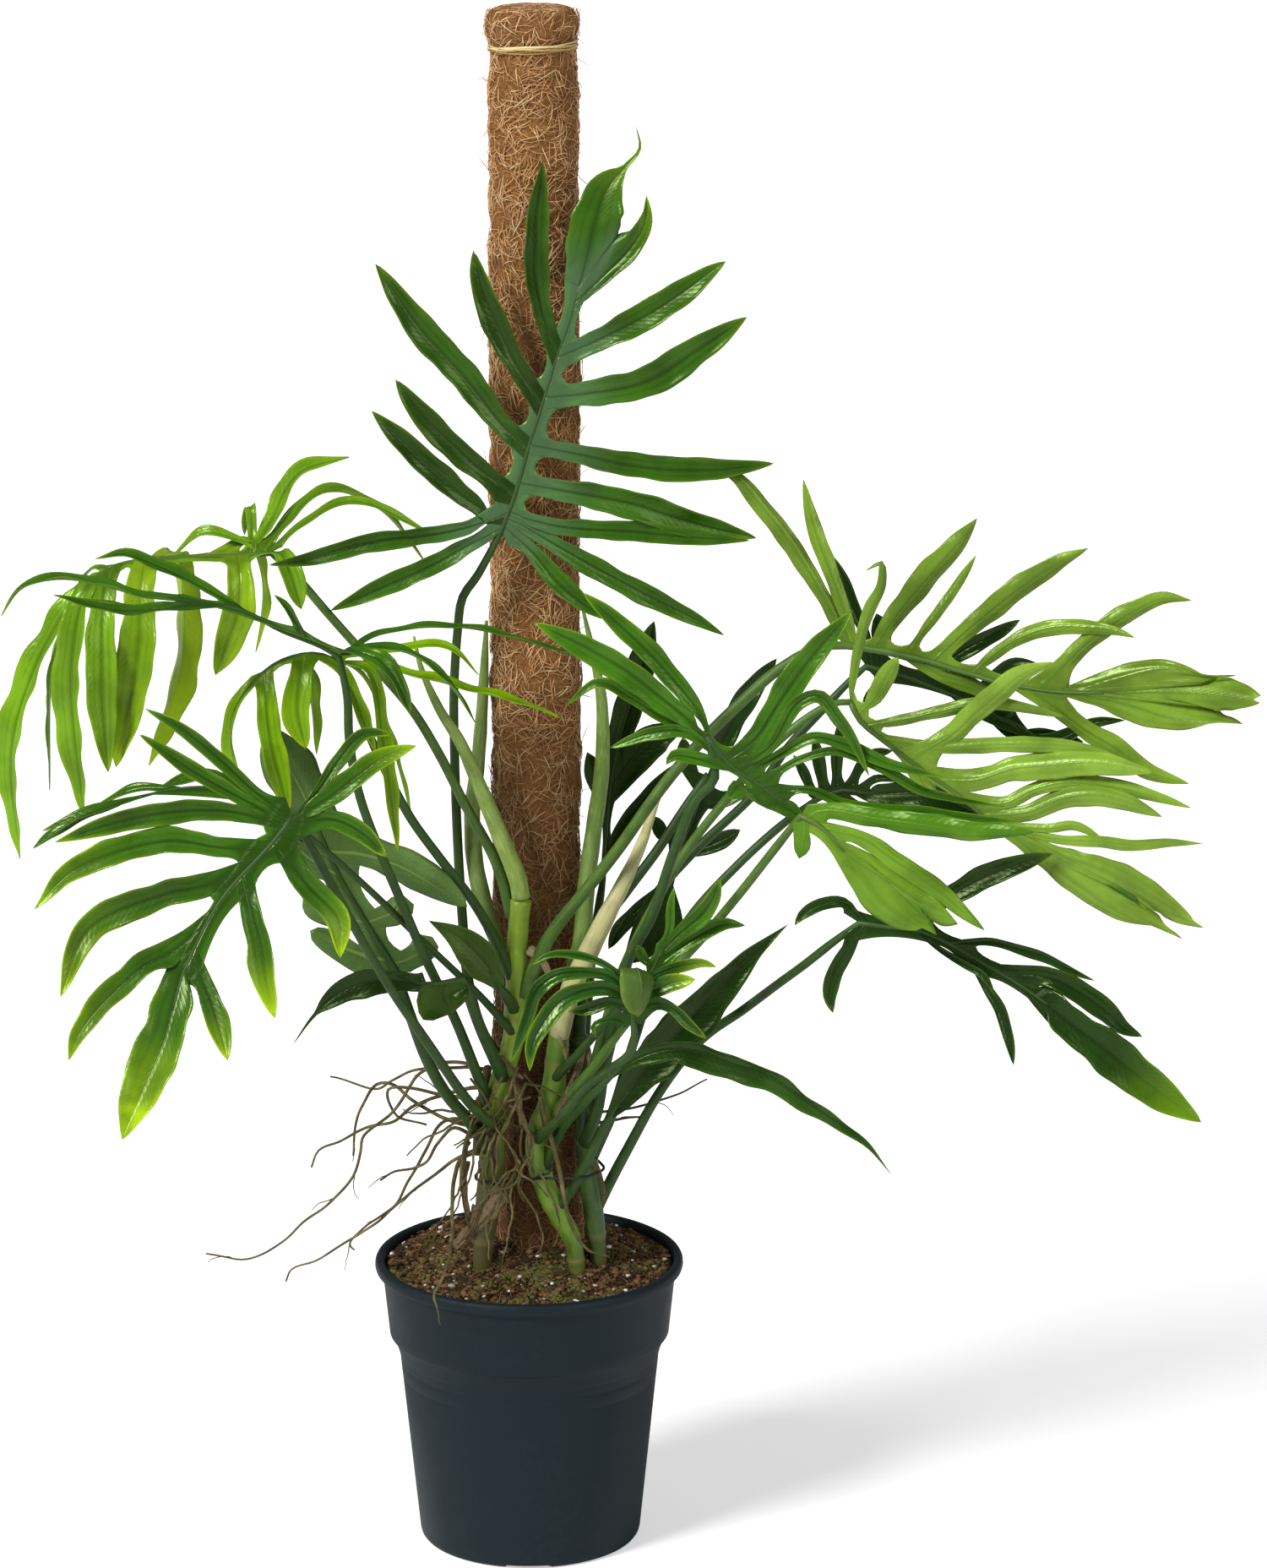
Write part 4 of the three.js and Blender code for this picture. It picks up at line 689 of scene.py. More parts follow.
leafList = [
    leaf("leaf_crown", "crownGreen", near=-64, lean=[0.06, 0.05], web=12,
        stalk=[[-18, 378, -52], [-36, 410, -44], [-46, 450, -38], [-50, 500, -34], [-53, 556, -30], [-55, 632, -32],
            [-55, 678, -36], [-52, 723, -42], [-48, 750, -50], [-36, 768, -58]],
        rib=[[-18, 802], [-7, 832], [2, 864], [13, 898], [24, 934], [34, 962], [39.5, 983]], lobes=[
            lobe(0, 15, [[5, 785], [24, 762], [42, 746], [60, 733]], away=-8),
            lobe(0.06, 17, [[44, 778], [82, 757], [127, 734], [150, 721]]),
            lobe(0.13, 16, [[30, 804], [80, 801], [120, 797], [169, 794]]),
            lobe(0.2, 22, [[40, 830], [80, 822], [120, 809], [174, 796]], away=10),
            lobe(0.35, 20, [[40, 860], [90, 850], [140, 848], [187, 853]]),
            lobe(0.54, 24, [[45, 906], [90, 915], [130, 940], [166, 964]], away=8),
            lobe(0.74, 22, [[45, 942], [100, 970], [150, 1006]]),
            lobe(0.93, 15, [[58, 994], [78, 1014], [90, 1036], [91, 1055]], away=-6, notch=[69, 1026], lime=(0, 0.3)),
            lobe(0, 16, [[-40, 792], [-70, 775], [-110, 757], [-148, 740]], away=-6),
            lobe(0.06, 15, [[-60, 800], [-120, 792], [-160, 781], [-194, 775]], away=-44),
            # the fingers from here to the end of this list carry painted shade through deep
            lobe(0.13, 18, [[-38, 822], [-70, 848], [-95, 872], [-115, 893]], deep=1.6),
            lobe(0.21, 19, [[-30, 845], [-60, 872], [-82, 897], [-97, 917]], away=10, deep=2.1),
            lobe(0.35, 22, [[-15, 880], [-45, 918], [-80, 957], [-111, 1004]], deep=1.2),
            lobe(0.54, 19, [[-5, 925], [-22, 960], [-33, 990], [-38, 1014]], away=6, deep=2.0),
            lobe(0.78, 18, [[14, 965], [8, 1000], [9, 1040], [14, 1080]], deep=1.5),
        ], end=lobe(1, 32, [[46, 1006], [53, 1036], [62, 1060], [76, 1077], [86, 1090], [83, 1107]], tail=0.26,
            lime=(0, 0.35))),
    leaf("leaf_left_high", "brightGreen", near=-70, lean=[0.12, 0], face=[0, -0.35, 1],
        stalk=[[-12, 500, -52], [-23, 541, -50], [-48, 590, -54], [-66, 627, -58], [-87, 663, -62], [-115, 697, -66],
            [-150, 738, -68], [-175, 768, -69]],
        rib=[[-192, 785], [-220, 783], [-260, 782], [-289, 780], [-311, 775], [-322, 767]], lobes=[
            lobe(0, 17, [[-184, 784, -16], [-178, 770, -26], [-170, 741, -28]]),
            lobe(0.2, 25, [[-216, 772, -18], [-218, 740, -28], [-236, 690, -26]], lime=(0.3, 0.4)),
            lobe(0.58, 29, [[-290, 764, -18], [-294, 710, -34], [-313, 618, -30]], lime=(0.35, 0.5)),
            lobe(0.8, 24, [[-318, 756, -20], [-322, 690, -40], [-319, 614, -40]]),
            lobe(0.93, 26, [[-332, 756, -14], [-345, 690, -22], [-338, 579, -20]]),
            lobe(0, 8, [[-170, 805, 8], [-130, 824, 14], [-64, 795, 14]]),
            lobe(0.05, 12, [[-180, 808, 12], [-150, 832, 24], [-110, 818, 30], [-75, 776, 30]]),
            lobe(0.1, 16, [[-192, 808, 14], [-170, 845, 30], [-132, 858, 34]]),
            lobe(0.17, 9, [[-206, 800, 12], [-207, 820, 18], [-212, 798, 34]]),
            lobe(0.27, 13, [[-208, 792, 22], [-198, 750, 36], [-205, 708, 34]], lime=(0.5, 0.6)),
            lobe(0.2, 10, [[-222, 796, 10], [-242, 800, 18], [-268, 780, 26]]),
            lobe(0.58, 27, [[-264, 784, 18], [-261, 700, 34], [-288, 619, 30]], lime=(0.7, 0.8)),
            lobe(0.92, 11, [[-330, 770, 14], [-358, 700, 22], [-364, 600, 20]]),
        ], end=lobe(1, 26, [[-345, 744], [-375, 690], [-392, 630], [-388, 546]])),
    leaf("leaf_left_middle", "midGreen", near=-152, lean=[0.15, 0], face=[0, -0.35, 1], web=9,
        stalk=[[-28, 345, -52], [-40, 375, -66], [-55, 415, -90], [-80, 470, -118], [-100, 520, -132],
            [-112, 550, -138], [-128, 597, -143], [-135, 640, -147], [-136, 672, -150]],
        rib=[[-142, 705], [-155, 713], [-187, 726], [-213, 740], [-250, 747], [-290, 751]], lobes=[
            lobe(0, 9, [[-110, 722, 12], [-50, 727, 20], [0, 716, 22], [45, 702, 22]]),
            lobe(0.3, 7, [[-180, 740, 8], [-190, 752, 14]]),
            lobe(0.6, 11, [[-245, 758, 12], [-280, 775, 22], [-302, 783, 26], [-325, 780, 26]]),
            lobe(0, 11, [[-118, 712, -6], [-85, 705, -12], [-58, 682, -14], [-39, 653, -14]]),
            lobe(0.12, 15, [[-128, 708, -18], [-112, 702, -28], [-100, 688, -30], [-88, 659, -32]]),
            lobe(0.75, 14, [[-268, 742, -12], [-310, 740, -22], [-357, 752, -24]]),
        ], end=lobe(1, 12, [[-330, 762], [-356, 764], [-381, 757], [-397, 736]])),
    leaf("leaf_left_low", "limeGreen", near=-112, lean=[0.05, 0], face=[0, -0.5, 1], web=6,
        stalk=[[-12, 452, -56], [-28, 488, -66], [-43, 514, -74], [-68, 548, -86], [-90, 580, -94], [-112, 625, -102],
            [-128, 665, -108]],
        rib=[[-140, 700], [-160, 707], [-187, 701], [-208, 684], [-222, 662]], lobes=[
            lobe(0, 13, [[-120, 694, -8], [-110, 640, -14], [-99, 551, -14]]),
            lobe(0.15, 12, [[-138, 690, -12], [-127, 660, -22], [-115, 630, -24]]),
            lobe(0.42, 22, [[-170, 692, -12], [-174, 665, -18], [-168, 632, -18]]),
            lobe(0.78, 18, [[-198, 676, -10], [-195, 640, -14], [-182, 582, -12]]),
            lobe(0, 13, [[-100, 694, 10], [-40, 678, 14], [0, 667, 14], [27, 656, 14]]),
            lobe(0.1, 8, [[-110, 708, 14], [-60, 712, 20], [-36, 690, 20]]),
            lobe(0.2, 10, [[-125, 690, 22], [-104, 640, 30], [-87, 574, 30]]),
            lobe(0.5, 12, [[-164, 690, 18], [-162, 665, 26], [-160, 628, 26]]),
        ], end=lobe(1, 17, [[-225, 640], [-220, 612], [-211, 578]])),
    leaf("leaf_front_left", "deepGreen", near=-215, lean=[0.05, 0.32], face=[-0.1, -1, 0.35], web=14,
        stalk=[[-22, 328, -54], [-45, 350, -90], [-75, 395, -130], [-110, 450, -165], [-145, 515, -195],
            [-165, 555, -208]],
        rib=[[-179, 580], [-191, 563], [-206, 546], [-224, 527], [-241, 504], [-256, 475], [-266, 452], [-274, 425]],
            lobes=[
            lobe(0, 11, [[-205, 597], [-235, 625], [-262, 648], [-290, 664]], away=10),
            lobe(0.05, 12, [[-215, 592], [-248, 611], [-295, 644]]),
            lobe(0.12, 17, [[-225, 583], [-270, 583], [-320, 573], [-361, 559]]),
            lobe(0.22, 22, [[-235, 555], [-276, 560], [-346, 537], [-378, 506]], away=10, lime=(0, 0.2)),
            lobe(0.36, 22, [[-250, 524], [-277, 518], [-337, 490], [-360, 436]], lime=(0, 0.25)),
            lobe(0.62, 20, [[-270, 474], [-297, 459], [-343, 411], [-355, 385]], away=8, lime=(0, 0.4)),
            lobe(0, 11, [[-160, 598], [-142, 625], [-124, 644], [-101, 644]], away=8),
            lobe(0.06, 18, [[-155, 591], [-131, 609], [-109, 625], [-84, 635]], away=-8, lime=(0, 0.3)),
            lobe(0.13, 15, [[-170, 575], [-148, 577], [-127, 567], [-107, 547]]),
            lobe(0.22, 19, [[-183, 545], [-167, 523], [-146, 499], [-144, 467]], lime=(0, 0.45)),
            lobe(0.38, 20, [[-212, 505], [-205, 477], [-201, 447], [-195, 419]], lime=(0, 0.6)),
            lobe(0.78, 17, [[-253, 456], [-247, 440], [-239, 414], [-232, 385]], away=-8, lime=(0, 0.6)),
        ], end=lobe(1, 35, [[-281, 400], [-297, 362], [-315, 321]], lime=(0, 1.3))),
    leaf("leaf_left_thin", "midGreen", near=-165, face=[0, -0.6, 1], web=4, stalkThick=3,
        stalk=[[-12, 408, -58], [-40, 440, -78], [-80, 480, -109], [-130, 530, -136], [-175, 570, -158]],
        rib=[[-205, 590], [-240, 602], [-275, 600], [-310, 590]], lobes=[
            lobe(0.2, 11, [[-240, 611, 8], [-279, 603, 10]]),
            lobe(0.6, 11, [[-300, 600, 8], [-332, 584, 10]]),
            lobe(0.85, 10, [[-330, 583, -8], [-370, 568, -10]]),
        ], end=lobe(1, 11, [[-345, 576], [-378, 554]])),
    leaf("leaf_left_pale", "greyGreen", near=-100, lean=[0.05, 0.12], web=20, stalkThick=5,
        stalk=[[-30, 312, -50], [-46, 336, -60], [-63, 357, -75], [-78, 385, -88], [-91, 422, -96]],
        rib=[[-102, 457], [-117, 483], [-131, 508], [-143, 530], [-153, 553], [-164, 582]], lobes=[
            lobe(0.05, 18, [[-122, 468], [-145, 477], [-167, 489]], blunt=0.6),
            lobe(0.36, 22, [[-146, 500], [-160, 506], [-172, 515]], blunt=0.4),
            lobe(0.7, 28, [[-165, 545], [-180, 560], [-187, 577]]),
            lobe(0.05, 22, [[-92, 466], [-82, 472], [-73, 484]], blunt=0.8),
            lobe(0.4, 22, [[-108, 501], [-99, 506], [-95, 517]], blunt=0.8),
            lobe(0.76, 27, [[-130, 550], [-100, 541], [-72, 525], [-46, 508]]),
        ], end=lobe(1, 42, [[-176, 608], [-188, 630], [-195, 650]])),
    leaf("leaf_left_dark", "paintedShadeGreen", near=-125, web=9, stalkThick=5,
        stalk=[[-19, 370, -54], [-26, 386, -72], [-37, 412, -96]],
        rib=[[-50, 450], [-68, 447], [-86, 447]], lobes=[
            lobe(0.35, 36, [[-66, 437], [-58, 423]], lime=(0.2, 0.2)),
        ], end=lobe(1, 21, [[-104, 449], [-126, 447], [-147, 438], [-165, 421], [-182, 397]], tail=0.25)),
    leaf("leaf_left_short", "duskGreen", near=-80, web=8, stalkThick=5,
        stalk=[[-10, 426, -56], [-15, 434, -70]],
        rib=[[-20, 442], [-30, 457]], lobes=[],
        end=lobe(1, 28, [[-42, 472], [-57, 486], [-76, 497]])),
    leaf("leaf_right_high", "oliveGreen", near=-72, lean=[-0.28, 0.06], web=10, stalkThick=5,
        stalk=[[-4, 438, -56], [12, 475, -66], [22, 492, -68], [44, 520, -72], [72, 557, -77], [97, 594, -81],
            [116, 619, -82], [140, 646, -80], [161, 667, -78], [191, 694, -75], [223, 712, -73]],
        rib=[[242, 713], [262, 710], [300, 702], [333, 692], [356, 685], [402, 677], [438, 676]], lobes=[
            lobe(0, 14, [[230, 742], [212, 773], [196, 798], [180, 818], [160, 842], [133, 858]], away=-14),
            lobe(0.07, 13, [[240, 742], [230, 770], [220, 795], [213, 820], [209, 841]], away=6),
            lobe(0.2, 19, [[277, 733], [290, 750], [311, 775], [330, 797], [340, 811]]),
            lobe(0.3, 8, [[301, 724], [311, 738], [322, 754], [340, 783]], away=8),
            lobe(0.4, 18, [[324, 716], [345, 735], [372, 757], [400, 776], [424, 788]]),
            lobe(0.55, 12, [[352, 704], [372, 718], [398, 727], [424, 727], [447, 724], [461, 719]], away=-6),
            lobe(0.78, 16, [[402, 692], [420, 711], [437, 725], [458, 739], [480, 749], [503, 748]], away=6),
            lobe(0.9, 20, [[452, 688], [484, 695], [519, 689]], notch=[512, 683]),
            lobe(0.35, 13, [[315, 690], [335, 684], [358, 671]], away=8),
            lobe(0.76, 15, [[402, 665], [424, 648], [450, 632], [472, 615], [505, 605]]),
            lobe(0.9, 22, [[454, 668], [488, 657], [527, 653]], notch=[512, 666]),
        ], end=lobe(1, 24, [[480, 677], [520, 675], [552, 671]])),
    leaf("leaf_right_middle", "paleGreen", near=-118, lean=[-0.28, 0.06], web=11,
        stalk=[[42, 356, -38], [52, 385, -58], [60, 415, -72], [72, 455, -90], [95, 505, -104], [120, 550, -112],
            [150, 590, -117], [185, 632, -120], [215, 658, -120], [233, 668, -119]],
        rib=[[246, 669], [253, 655], [270, 640], [300, 617], [331, 595], [351, 578], [380, 565]], lobes=[
            lobe(0, 9, [[249, 695], [253, 715], [260, 740], [269, 760], [268, 777], [257, 771]]),
            lobe(0.1, 15, [[264, 672], [272, 688], [282, 704]], away=-6),
            lobe(0.22, 11, [[290, 656], [315, 662], [352, 668], [380, 664], [410, 657]], away=16),
            lobe(0.33, 12, [[315, 634], [350, 636], [400, 636], [425, 633], [453, 625]], away=16),
            lobe(0.42, 17, [[325, 645], [340, 660], [357, 675], [375, 690], [399, 700]], away=-8),
            lobe(0.54, 20, [[342, 608], [370, 617], [400, 620], [430, 622], [478, 614]]),
            lobe(0.67, 13, [[365, 590], [385, 600], [410, 606], [440, 604], [475, 596], [507, 586]], away=16),
            lobe(0.78, 16, [[382, 583], [405, 593], [430, 597], [455, 592], [485, 579]]),
            lobe(0.9, 8, [[398, 570], [418, 572], [441, 561]], away=6),
            lobe(0.95, 9, [[410, 561], [437, 560], [463, 557], [490, 559], [516, 558]], away=12),
            lobe(0.5, 12, [[304, 603], [312, 594]]),
            lobe(0.9, 22, [[396, 545], [424, 524], [456, 502], [487, 490]], notch=[466, 516]),
        ], end=lobe(1, 25, [[404, 551], [432, 541], [458, 528], [485, 512], [511, 497]])),
    leaf("leaf_centre_right", "midGreen", near=-168, lean=[-0.2, 0], web=11, stalkThick=4.5,
        stalk=[[44, 318, -40], [53, 345, -52], [58, 375, -62], [66, 410, -84], [75, 461, -112], [95, 500, -132],
            [112, 551, -150], [128, 592, -162], [143, 609, -166]],
        rib=[[138, 642], [147, 629], [160, 616], [180, 603], [197, 588]], lobes=[
            lobe(0, 16, [[130, 662], [100, 700], [75, 725], [43, 754]], away=8),
            lobe(0.38, 20, [[176, 642], [190, 665], [212, 698], [247, 740]], away=6),
            lobe(0.48, 10, [[186, 635, -6], [206, 668, -10], [222, 674, -10], [236, 658, -8], [248, 640, -6],
                [261, 611, -4]]),
            lobe(0.58, 9, [[196, 630], [218, 641], [240, 637], [275, 621], [319, 610]]),
            lobe(0.72, 8, [[208, 624], [236, 631], [270, 618], [302, 600], [330, 593], [365, 587]], away=14),
            lobe(0.92, 9, [[217, 600], [240, 590], [270, 585], [300, 583], [340, 578], [380, 575]], away=6),
            lobe(0, 20, [[122, 656], [98, 676], [75, 694], [47, 711], [6, 731]]),
            lobe(0.16, 9, [[126, 646], [105, 656], [80, 672], [55, 684], [30, 666]], away=-8),
            lobe(0.3, 10, [[136, 636], [120, 646], [96, 645], [63, 633]], away=-6),
            lobe(0.46, 11, [[148, 620], [128, 625], [112, 627], [106, 620]], away=-8),
            lobe(0.75, 10, [[172, 598], [162, 604], [153, 593]], away=-8),
        ], end=lobe(1, 12, [[203, 583], [211, 577]])),
    leaf("leaf_right_long", "twoGreen", near=-200, lean=[-0.28, 0.04], web=10,
        stalk=[[16, 333, -52], [30, 355, -64], [51, 380, -80], [70, 408, -102], [100, 445, -116], [134, 483, -122],
            [160, 515, -138], [185, 548, -170]],
        rib=[[209, 580], [225, 571], [242, 552]], lobes=[
            lobe(0.05, 17, [[230, 584], [264, 578], [300, 573], [335, 568], [388, 567]], lime=(1.2, 1.2)),
            lobe(0.55, 14, [[256, 562], [280, 545], [310, 525], [335, 503], [351, 489]], away=8),
            lobe(0.9, 24, [[258, 545], [280, 527], [305, 511], [325, 501]], notch=[302, 511]),
            lobe(0.1, 12, [[212, 567], [208, 546]], lime=(1, 1)),
        ], end=lobe(1, 22, [[256, 533], [270, 514], [286, 501], [303, 491]])),
    leaf("leaf_right_low", "paintedShadeGreen", near=-165, lean=[-0.2, 0.12], web=14,
        stalk=[[50, 260, -36], [75, 310, -34], [105, 365, -34], [134, 402, -38], [165, 425, -50], [192, 446, -96],
            [213, 462, -134], [235, 480, -156]],
        rib=[[255, 495], [275, 492], [300, 489], [325, 478], [350, 463], [375, 448], [400, 430]], lobes=[
            lobe(0, 10, [[244, 511], [225, 509], [210, 500], [205, 493]], away=-8),
            lobe(0.3, 17, [[310, 508], [330, 520], [350, 531], [375, 541], [402, 550]], away=10),
            lobe(0.6, 8, [[357, 480], [375, 475], [397, 468], [418, 457], [436, 449]]),
            lobe(0.88, 18, [[400, 452], [425, 440], [445, 425], [458, 412], [474, 404]]),
            lobe(0.02, 13, [[247, 475], [236, 457], [232, 437], [235, 423]]),
            lobe(0.35, 6, [[313, 477], [336, 462], [352, 452], [360, 436]], away=-10),
            lobe(0.62, 9, [[347, 455], [355, 440], [364, 424], [370, 404], [375, 381]]),
            lobe(0.9, 8, [[392, 430], [408, 414], [425, 398], [440, 383]]),
        ], end=lobe(1, 31, [[420, 413], [445, 395], [470, 374], [497, 353], [521, 335]], lime=(0, 0.6))),
    leaf("leaf_right_shade", "paintedShadeGreen", near=-20, lean=[-0.24, 0], web=12,
        stalk=[[47, 340, -32], [56, 370, -42], [64, 410, -48], [76, 460, -48], [90, 505, -45], [127, 551, -40],
            [175, 599, -32], [199, 634, -28], [224, 662, -24], [246, 686, -21]],
        rib=[[258, 697], [285, 690], [320, 676], [355, 660], [385, 640]], lobes=[
            lobe(0, 10, [[257, 720], [248, 742], [240, 763], [231, 783]], away=6),
            lobe(0.1, 16, [[269, 712], [270, 724], [265, 738]]),
            lobe(0.45, 14, [[325, 705], [345, 717], [374, 733]]),
            lobe(0.65, 8, [[355, 690], [370, 700], [388, 699]], away=-8),
            lobe(0.15, 10, [[264, 678], [256, 664]]),
            lobe(0.5, 9, [[345, 660], [370, 650], [393, 638]]),
            lobe(0.8, 14, [[372, 643], [395, 640], [424, 638]], away=8),
        ], end=lobe(1, 11, [[405, 640], [430, 652], [455, 655]])),
    leaf("leaf_right_back", "paintedShadeGreen", near=-62, lean=[-0.24, 0], web=6,
        stalk=[[48, 305, -36], [64, 340, -38], [80, 395, -50], [100, 455, -62], [125, 500, -66], [160, 540, -66],
            [195, 573, -64]],
        rib=[[220, 592], [240, 600], [264, 597]], lobes=[
            lobe(0, 8, [[212, 612], [203, 628]]),
            lobe(0.2, 10, [[222, 625], [219, 643]]),
            lobe(0.42, 10, [[236, 630], [238, 655]]),
            lobe(0.65, 9, [[254, 618], [264, 628], [279, 631]], away=6),
            lobe(0.9, 7, [[268, 610], [285, 608]], away=-6),
            lobe(0.6, 9, [[254, 586], [268, 584]]),
        ], end=lobe(1, 23, [[300, 598], [325, 590], [351, 577]])),
    leaf("leaf_back", "paintedShadeGreen", near=62, lean=[0, -0.1], web=9,
        stalk=[[40, 370, -30], [43, 395, -14], [46, 430, 2], [50, 475, 28]],
        rib=[[58, 530], [60, 565], [64, 605], [72, 645], [82, 678]], lobes=[
            lobe(0.15, 10, [[76, 577], [96, 601], [115, 622]]),
            lobe(0.5, 28, [[86, 633], [104, 645], [117, 645]]),
            lobe(0.45, 15, [[52, 608], [46, 630]]),
        ], end=lobe(1, 25, [[88, 700], [97, 732]])),
    leaf("leaf_back_right", "paintedShadeGreen", near=20, web=10, stalkThick=4.5,
        stalk=[[39, 395, -31], [42, 440, -27], [48, 480, -15], [75, 519, 0], [99, 552, 8], [120, 585, 14]],
        rib=[[138, 612], [126, 578], [113, 543], [101, 508]], lobes=[
            lobe(0.05, 19, [[150, 640], [168, 675], [190, 703]]),
            lobe(0.2, 11, [[148, 590], [163, 597], [178, 602]]),
            lobe(0.55, 15, [[130, 553], [147, 560], [163, 569]]),
            lobe(0.9, 14, [[112, 498], [108, 482], [98, 464]]),
            lobe(0.1, 14, [[122, 622], [119, 642]]),
            lobe(0.5, 12, [[104, 565], [96, 580]]),
            lobe(0.85, 13, [[84, 505], [70, 490], [62, 474]]),
        ], end=lobe(1, 26, [[92, 485], [81, 463]])),
    leaf("leaf_plain_up", "paintedShadeGreen", near=-70, lean=[0.05, 0], stalkThick=4.5,
        stalk=[[20, 262, -50], [34, 282, -58], [47, 307, -64], [55, 325, -68]],
        rib=[[62, 338], [70, 350]], lobes=[],
        end=lobe(1, 37, [[90, 378], [115, 407], [145, 440], [175, 473], [200, 494]])),
    leaf("leaf_plain_arched", "paintedShadeMid", near=-96, lean=[-0.25, 0],
        stalk=[[12, 298, -52], [24, 326, -62], [38, 345, -78], [50, 358, -90]],
        rib=[[62, 370], [72, 379]], lobes=[],
        end=lobe(1, 22, [[90, 389], [112, 394], [135, 390], [160, 381], [190, 370], [215, 352], [240, 335],
            [262, 318], [281, 293]])),
    leaf("leaf_young", "glossGreen", near=-160, lean=[0.05, 0], web=7, stalkThick=3.8,
        stalk=[[7, 322, -56], [17, 331, -76], [26, 340, -92], [43, 362, -114], [60, 376, -134], [76, 388, -148],
            [82, 400, -157]],
        rib=[[81, 416], [80, 434], [79, 450]], lobes=[
            lobe(0.05, 5, [[62, 418], [50, 412], [53, 403]]),
            lobe(0.3, 10, [[64, 432], [47, 427], [31, 424]], away=8),
            lobe(0.5, 15, [[62, 443], [43, 441], [25, 432], [12, 415], [3, 397], [1, 376]], away=-14),
            lobe(0.75, 11, [[62, 453], [43, 456], [22, 453], [7, 441], [0, 420], [-8, 398], [-14, 383]], away=14),
            lobe(0.9, 6, [[64, 459], [51, 466], [35, 470], [18, 470], [2, 461]]),
            lobe(0.2, 9, [[98, 432], [112, 426], [124, 414], [138, 402]]),
            lobe(0.5, 14, [[96, 441], [112, 447], [129, 450]], away=-8, lime=(0, 0.5)),
            lobe(0.85, 9, [[95, 452], [118, 461], [134, 463], [145, 460]], away=8, lime=(0, 0.5)),
        ], end=lobe(1, 29, [[80, 456, -4], [84, 459, -11], [87, 448, -17], [87, 433, -18], [85, 420, -15]],
            blunt=0.5)),
    leaf("leaf_young_back", "midGreen", near=-142, web=6, stalkThick=3.5,
        stalk=[[20, 370, -54], [40, 392, -80], [62, 418, -114], [80, 436, -133]],
        rib=[[92, 450], [98, 462], [103, 474]], lobes=[
            lobe(0.3, 13, [[111, 470], [131, 485], [151, 494], [167, 493]], away=8),
            lobe(0.8, 14, [[118, 487], [131, 499], [142, 514], [148, 531]], away=-12),
            lobe(0.5, 8, [[88, 468], [84, 478]]),
        ], end=lobe(1, 7, [[109, 490], [110, 506], [112, 523]])),
]
# each finish of the leaves: its slot, then blade, young parts, veins (where darker than the blade, painted shade in the
# vein's groove), margin and dullness in front and behind
deepBack = ("#4c7329", "#8fb032", "#86a550", 0.4, 0.5)
leafLooks = {
    "deepGreen": ("leaf_deep", ("#3a6a13", "#a8cc14", "#1e4406", 0.6, 0.3), deepBack),
    "crownGreen": ("leaf_deep", ("#3a6a13", "#8cb40e", "#1e4406", 0.3, 0.3), deepBack),
    # a darker copy of the deep green: painted shade for leaves that lie in shade
    "paintedShadeGreen": ("leaf_deep", ("#183a0a", "#6f9a10", "#122f06", 0.3, 0.3),
                   ("#385a1e", "#86a82f", "#7c9a48", 0.4, 0.5)),
    "midGreen": ("leaf_mid", ("#3f7213", "#92b813", "#244e08", 0.4, 0.28),
                 ("#577f2c", "#9aba38", "#8cab4c", 0.4, 0.5)),
    # a darker copy of the mid green: painted shade for leaves that lie in shade
    "paintedShadeMid": ("leaf_mid", ("#264c10", "#7ca416", "#163608", 0.3, 0.3),
                 ("#4a7027", "#8cae32", "#829f4b", 0.4, 0.5)),
    "duskGreen": ("leaf_mid", ("#3f5a1e", "#6c8a25", "#5f7c33", 0.2, 0.45),
                  ("#2c5413", "#7ca416", "#86a550", 0.3, 0.4)),
    "glossGreen": ("leaf_mid", ("#265616", "#a8cc14", "#163608", 0.5, 0.24),
                   ("#4e6e2c", "#c0d819", "#6c8a3e", 0.5, 0.45)),
    "brightGreen": ("leaf_bright", ("#78a81c", "#b0d01f", "#558a0c", 0.35, 0.24),
                    ("#80b029", "#b0d01f", "#8fb83e", 0.4, 0.3)),
    "limeGreen": ("leaf_bright", ("#80b008", "#c0d410", "#5f9006", 0.5, 0.32),
                  ("#7dae16", "#b4d01f", "#94b838", 0.4, 0.4)),
    "twoGreen": ("leaf_bright", ("#729b28", "#457609", "#5c8a1e", 0.2, 0.34),
                 ("#569a16", "#a0c41f", "#3c7a09", 0.4, 0.34)),
    "paleGreen": ("leaf_pale", ("#86a93a", "#a8c83a", "#66902d", 0.4, 0.28),
                  ("#3f741e", "#95b828", "#28560b", 0.4, 0.34)),
    "oliveGreen": ("leaf_pale", ("#7a9c2f", "#98b832", "#527a21", 0.4, 0.28),
                   ("#366617", "#8cb022", "#224c09", 0.4, 0.34)),
    "greyGreen": ("leaf_pale", ("#5d8040", "#86a038", "#8aa851", 0.15, 0.42),
                  ("#336621", "#86ad24", "#28560b", 0.4, 0.4)),
}
paleStalks = ("paleGreen", "oliveGreen", "brightGreen", "twoGreen")
upper = {"Net": 0.1, "Ridge": -0.8, "FoldShade": 1.3}  # how a leaf's upper side differs from its underside
under = {"Net": 0.35, "Ridge": 0.8, "FoldShade": 0.4}
leafGloss, leafTint, crownBloom = 0.45, (0.8, 1.0, 0.45, 1), 0.29


def leafFinish(name, facing, colours):
    # the finish of one face of a leaf: its front is the upper side, but the underside for a pale leaf
    base, young, veinAndGrooveShade, margin, dull = colours
    down = (facing == "back") != (name in paleSides)
    return finishOf(
        f"{name} {'underside' if down else 'upper side'}", tissue, 0.35, leafGloss, leafTint, Blade=base,
        Young=young, Vein=veinAndGrooveShade, Margin=margin, Dull=dull, Veins=0.6, **(under if down else upper),
        Bloom=crownBloom if (name, facing) == ("crownGreen", "front") else 0.0)


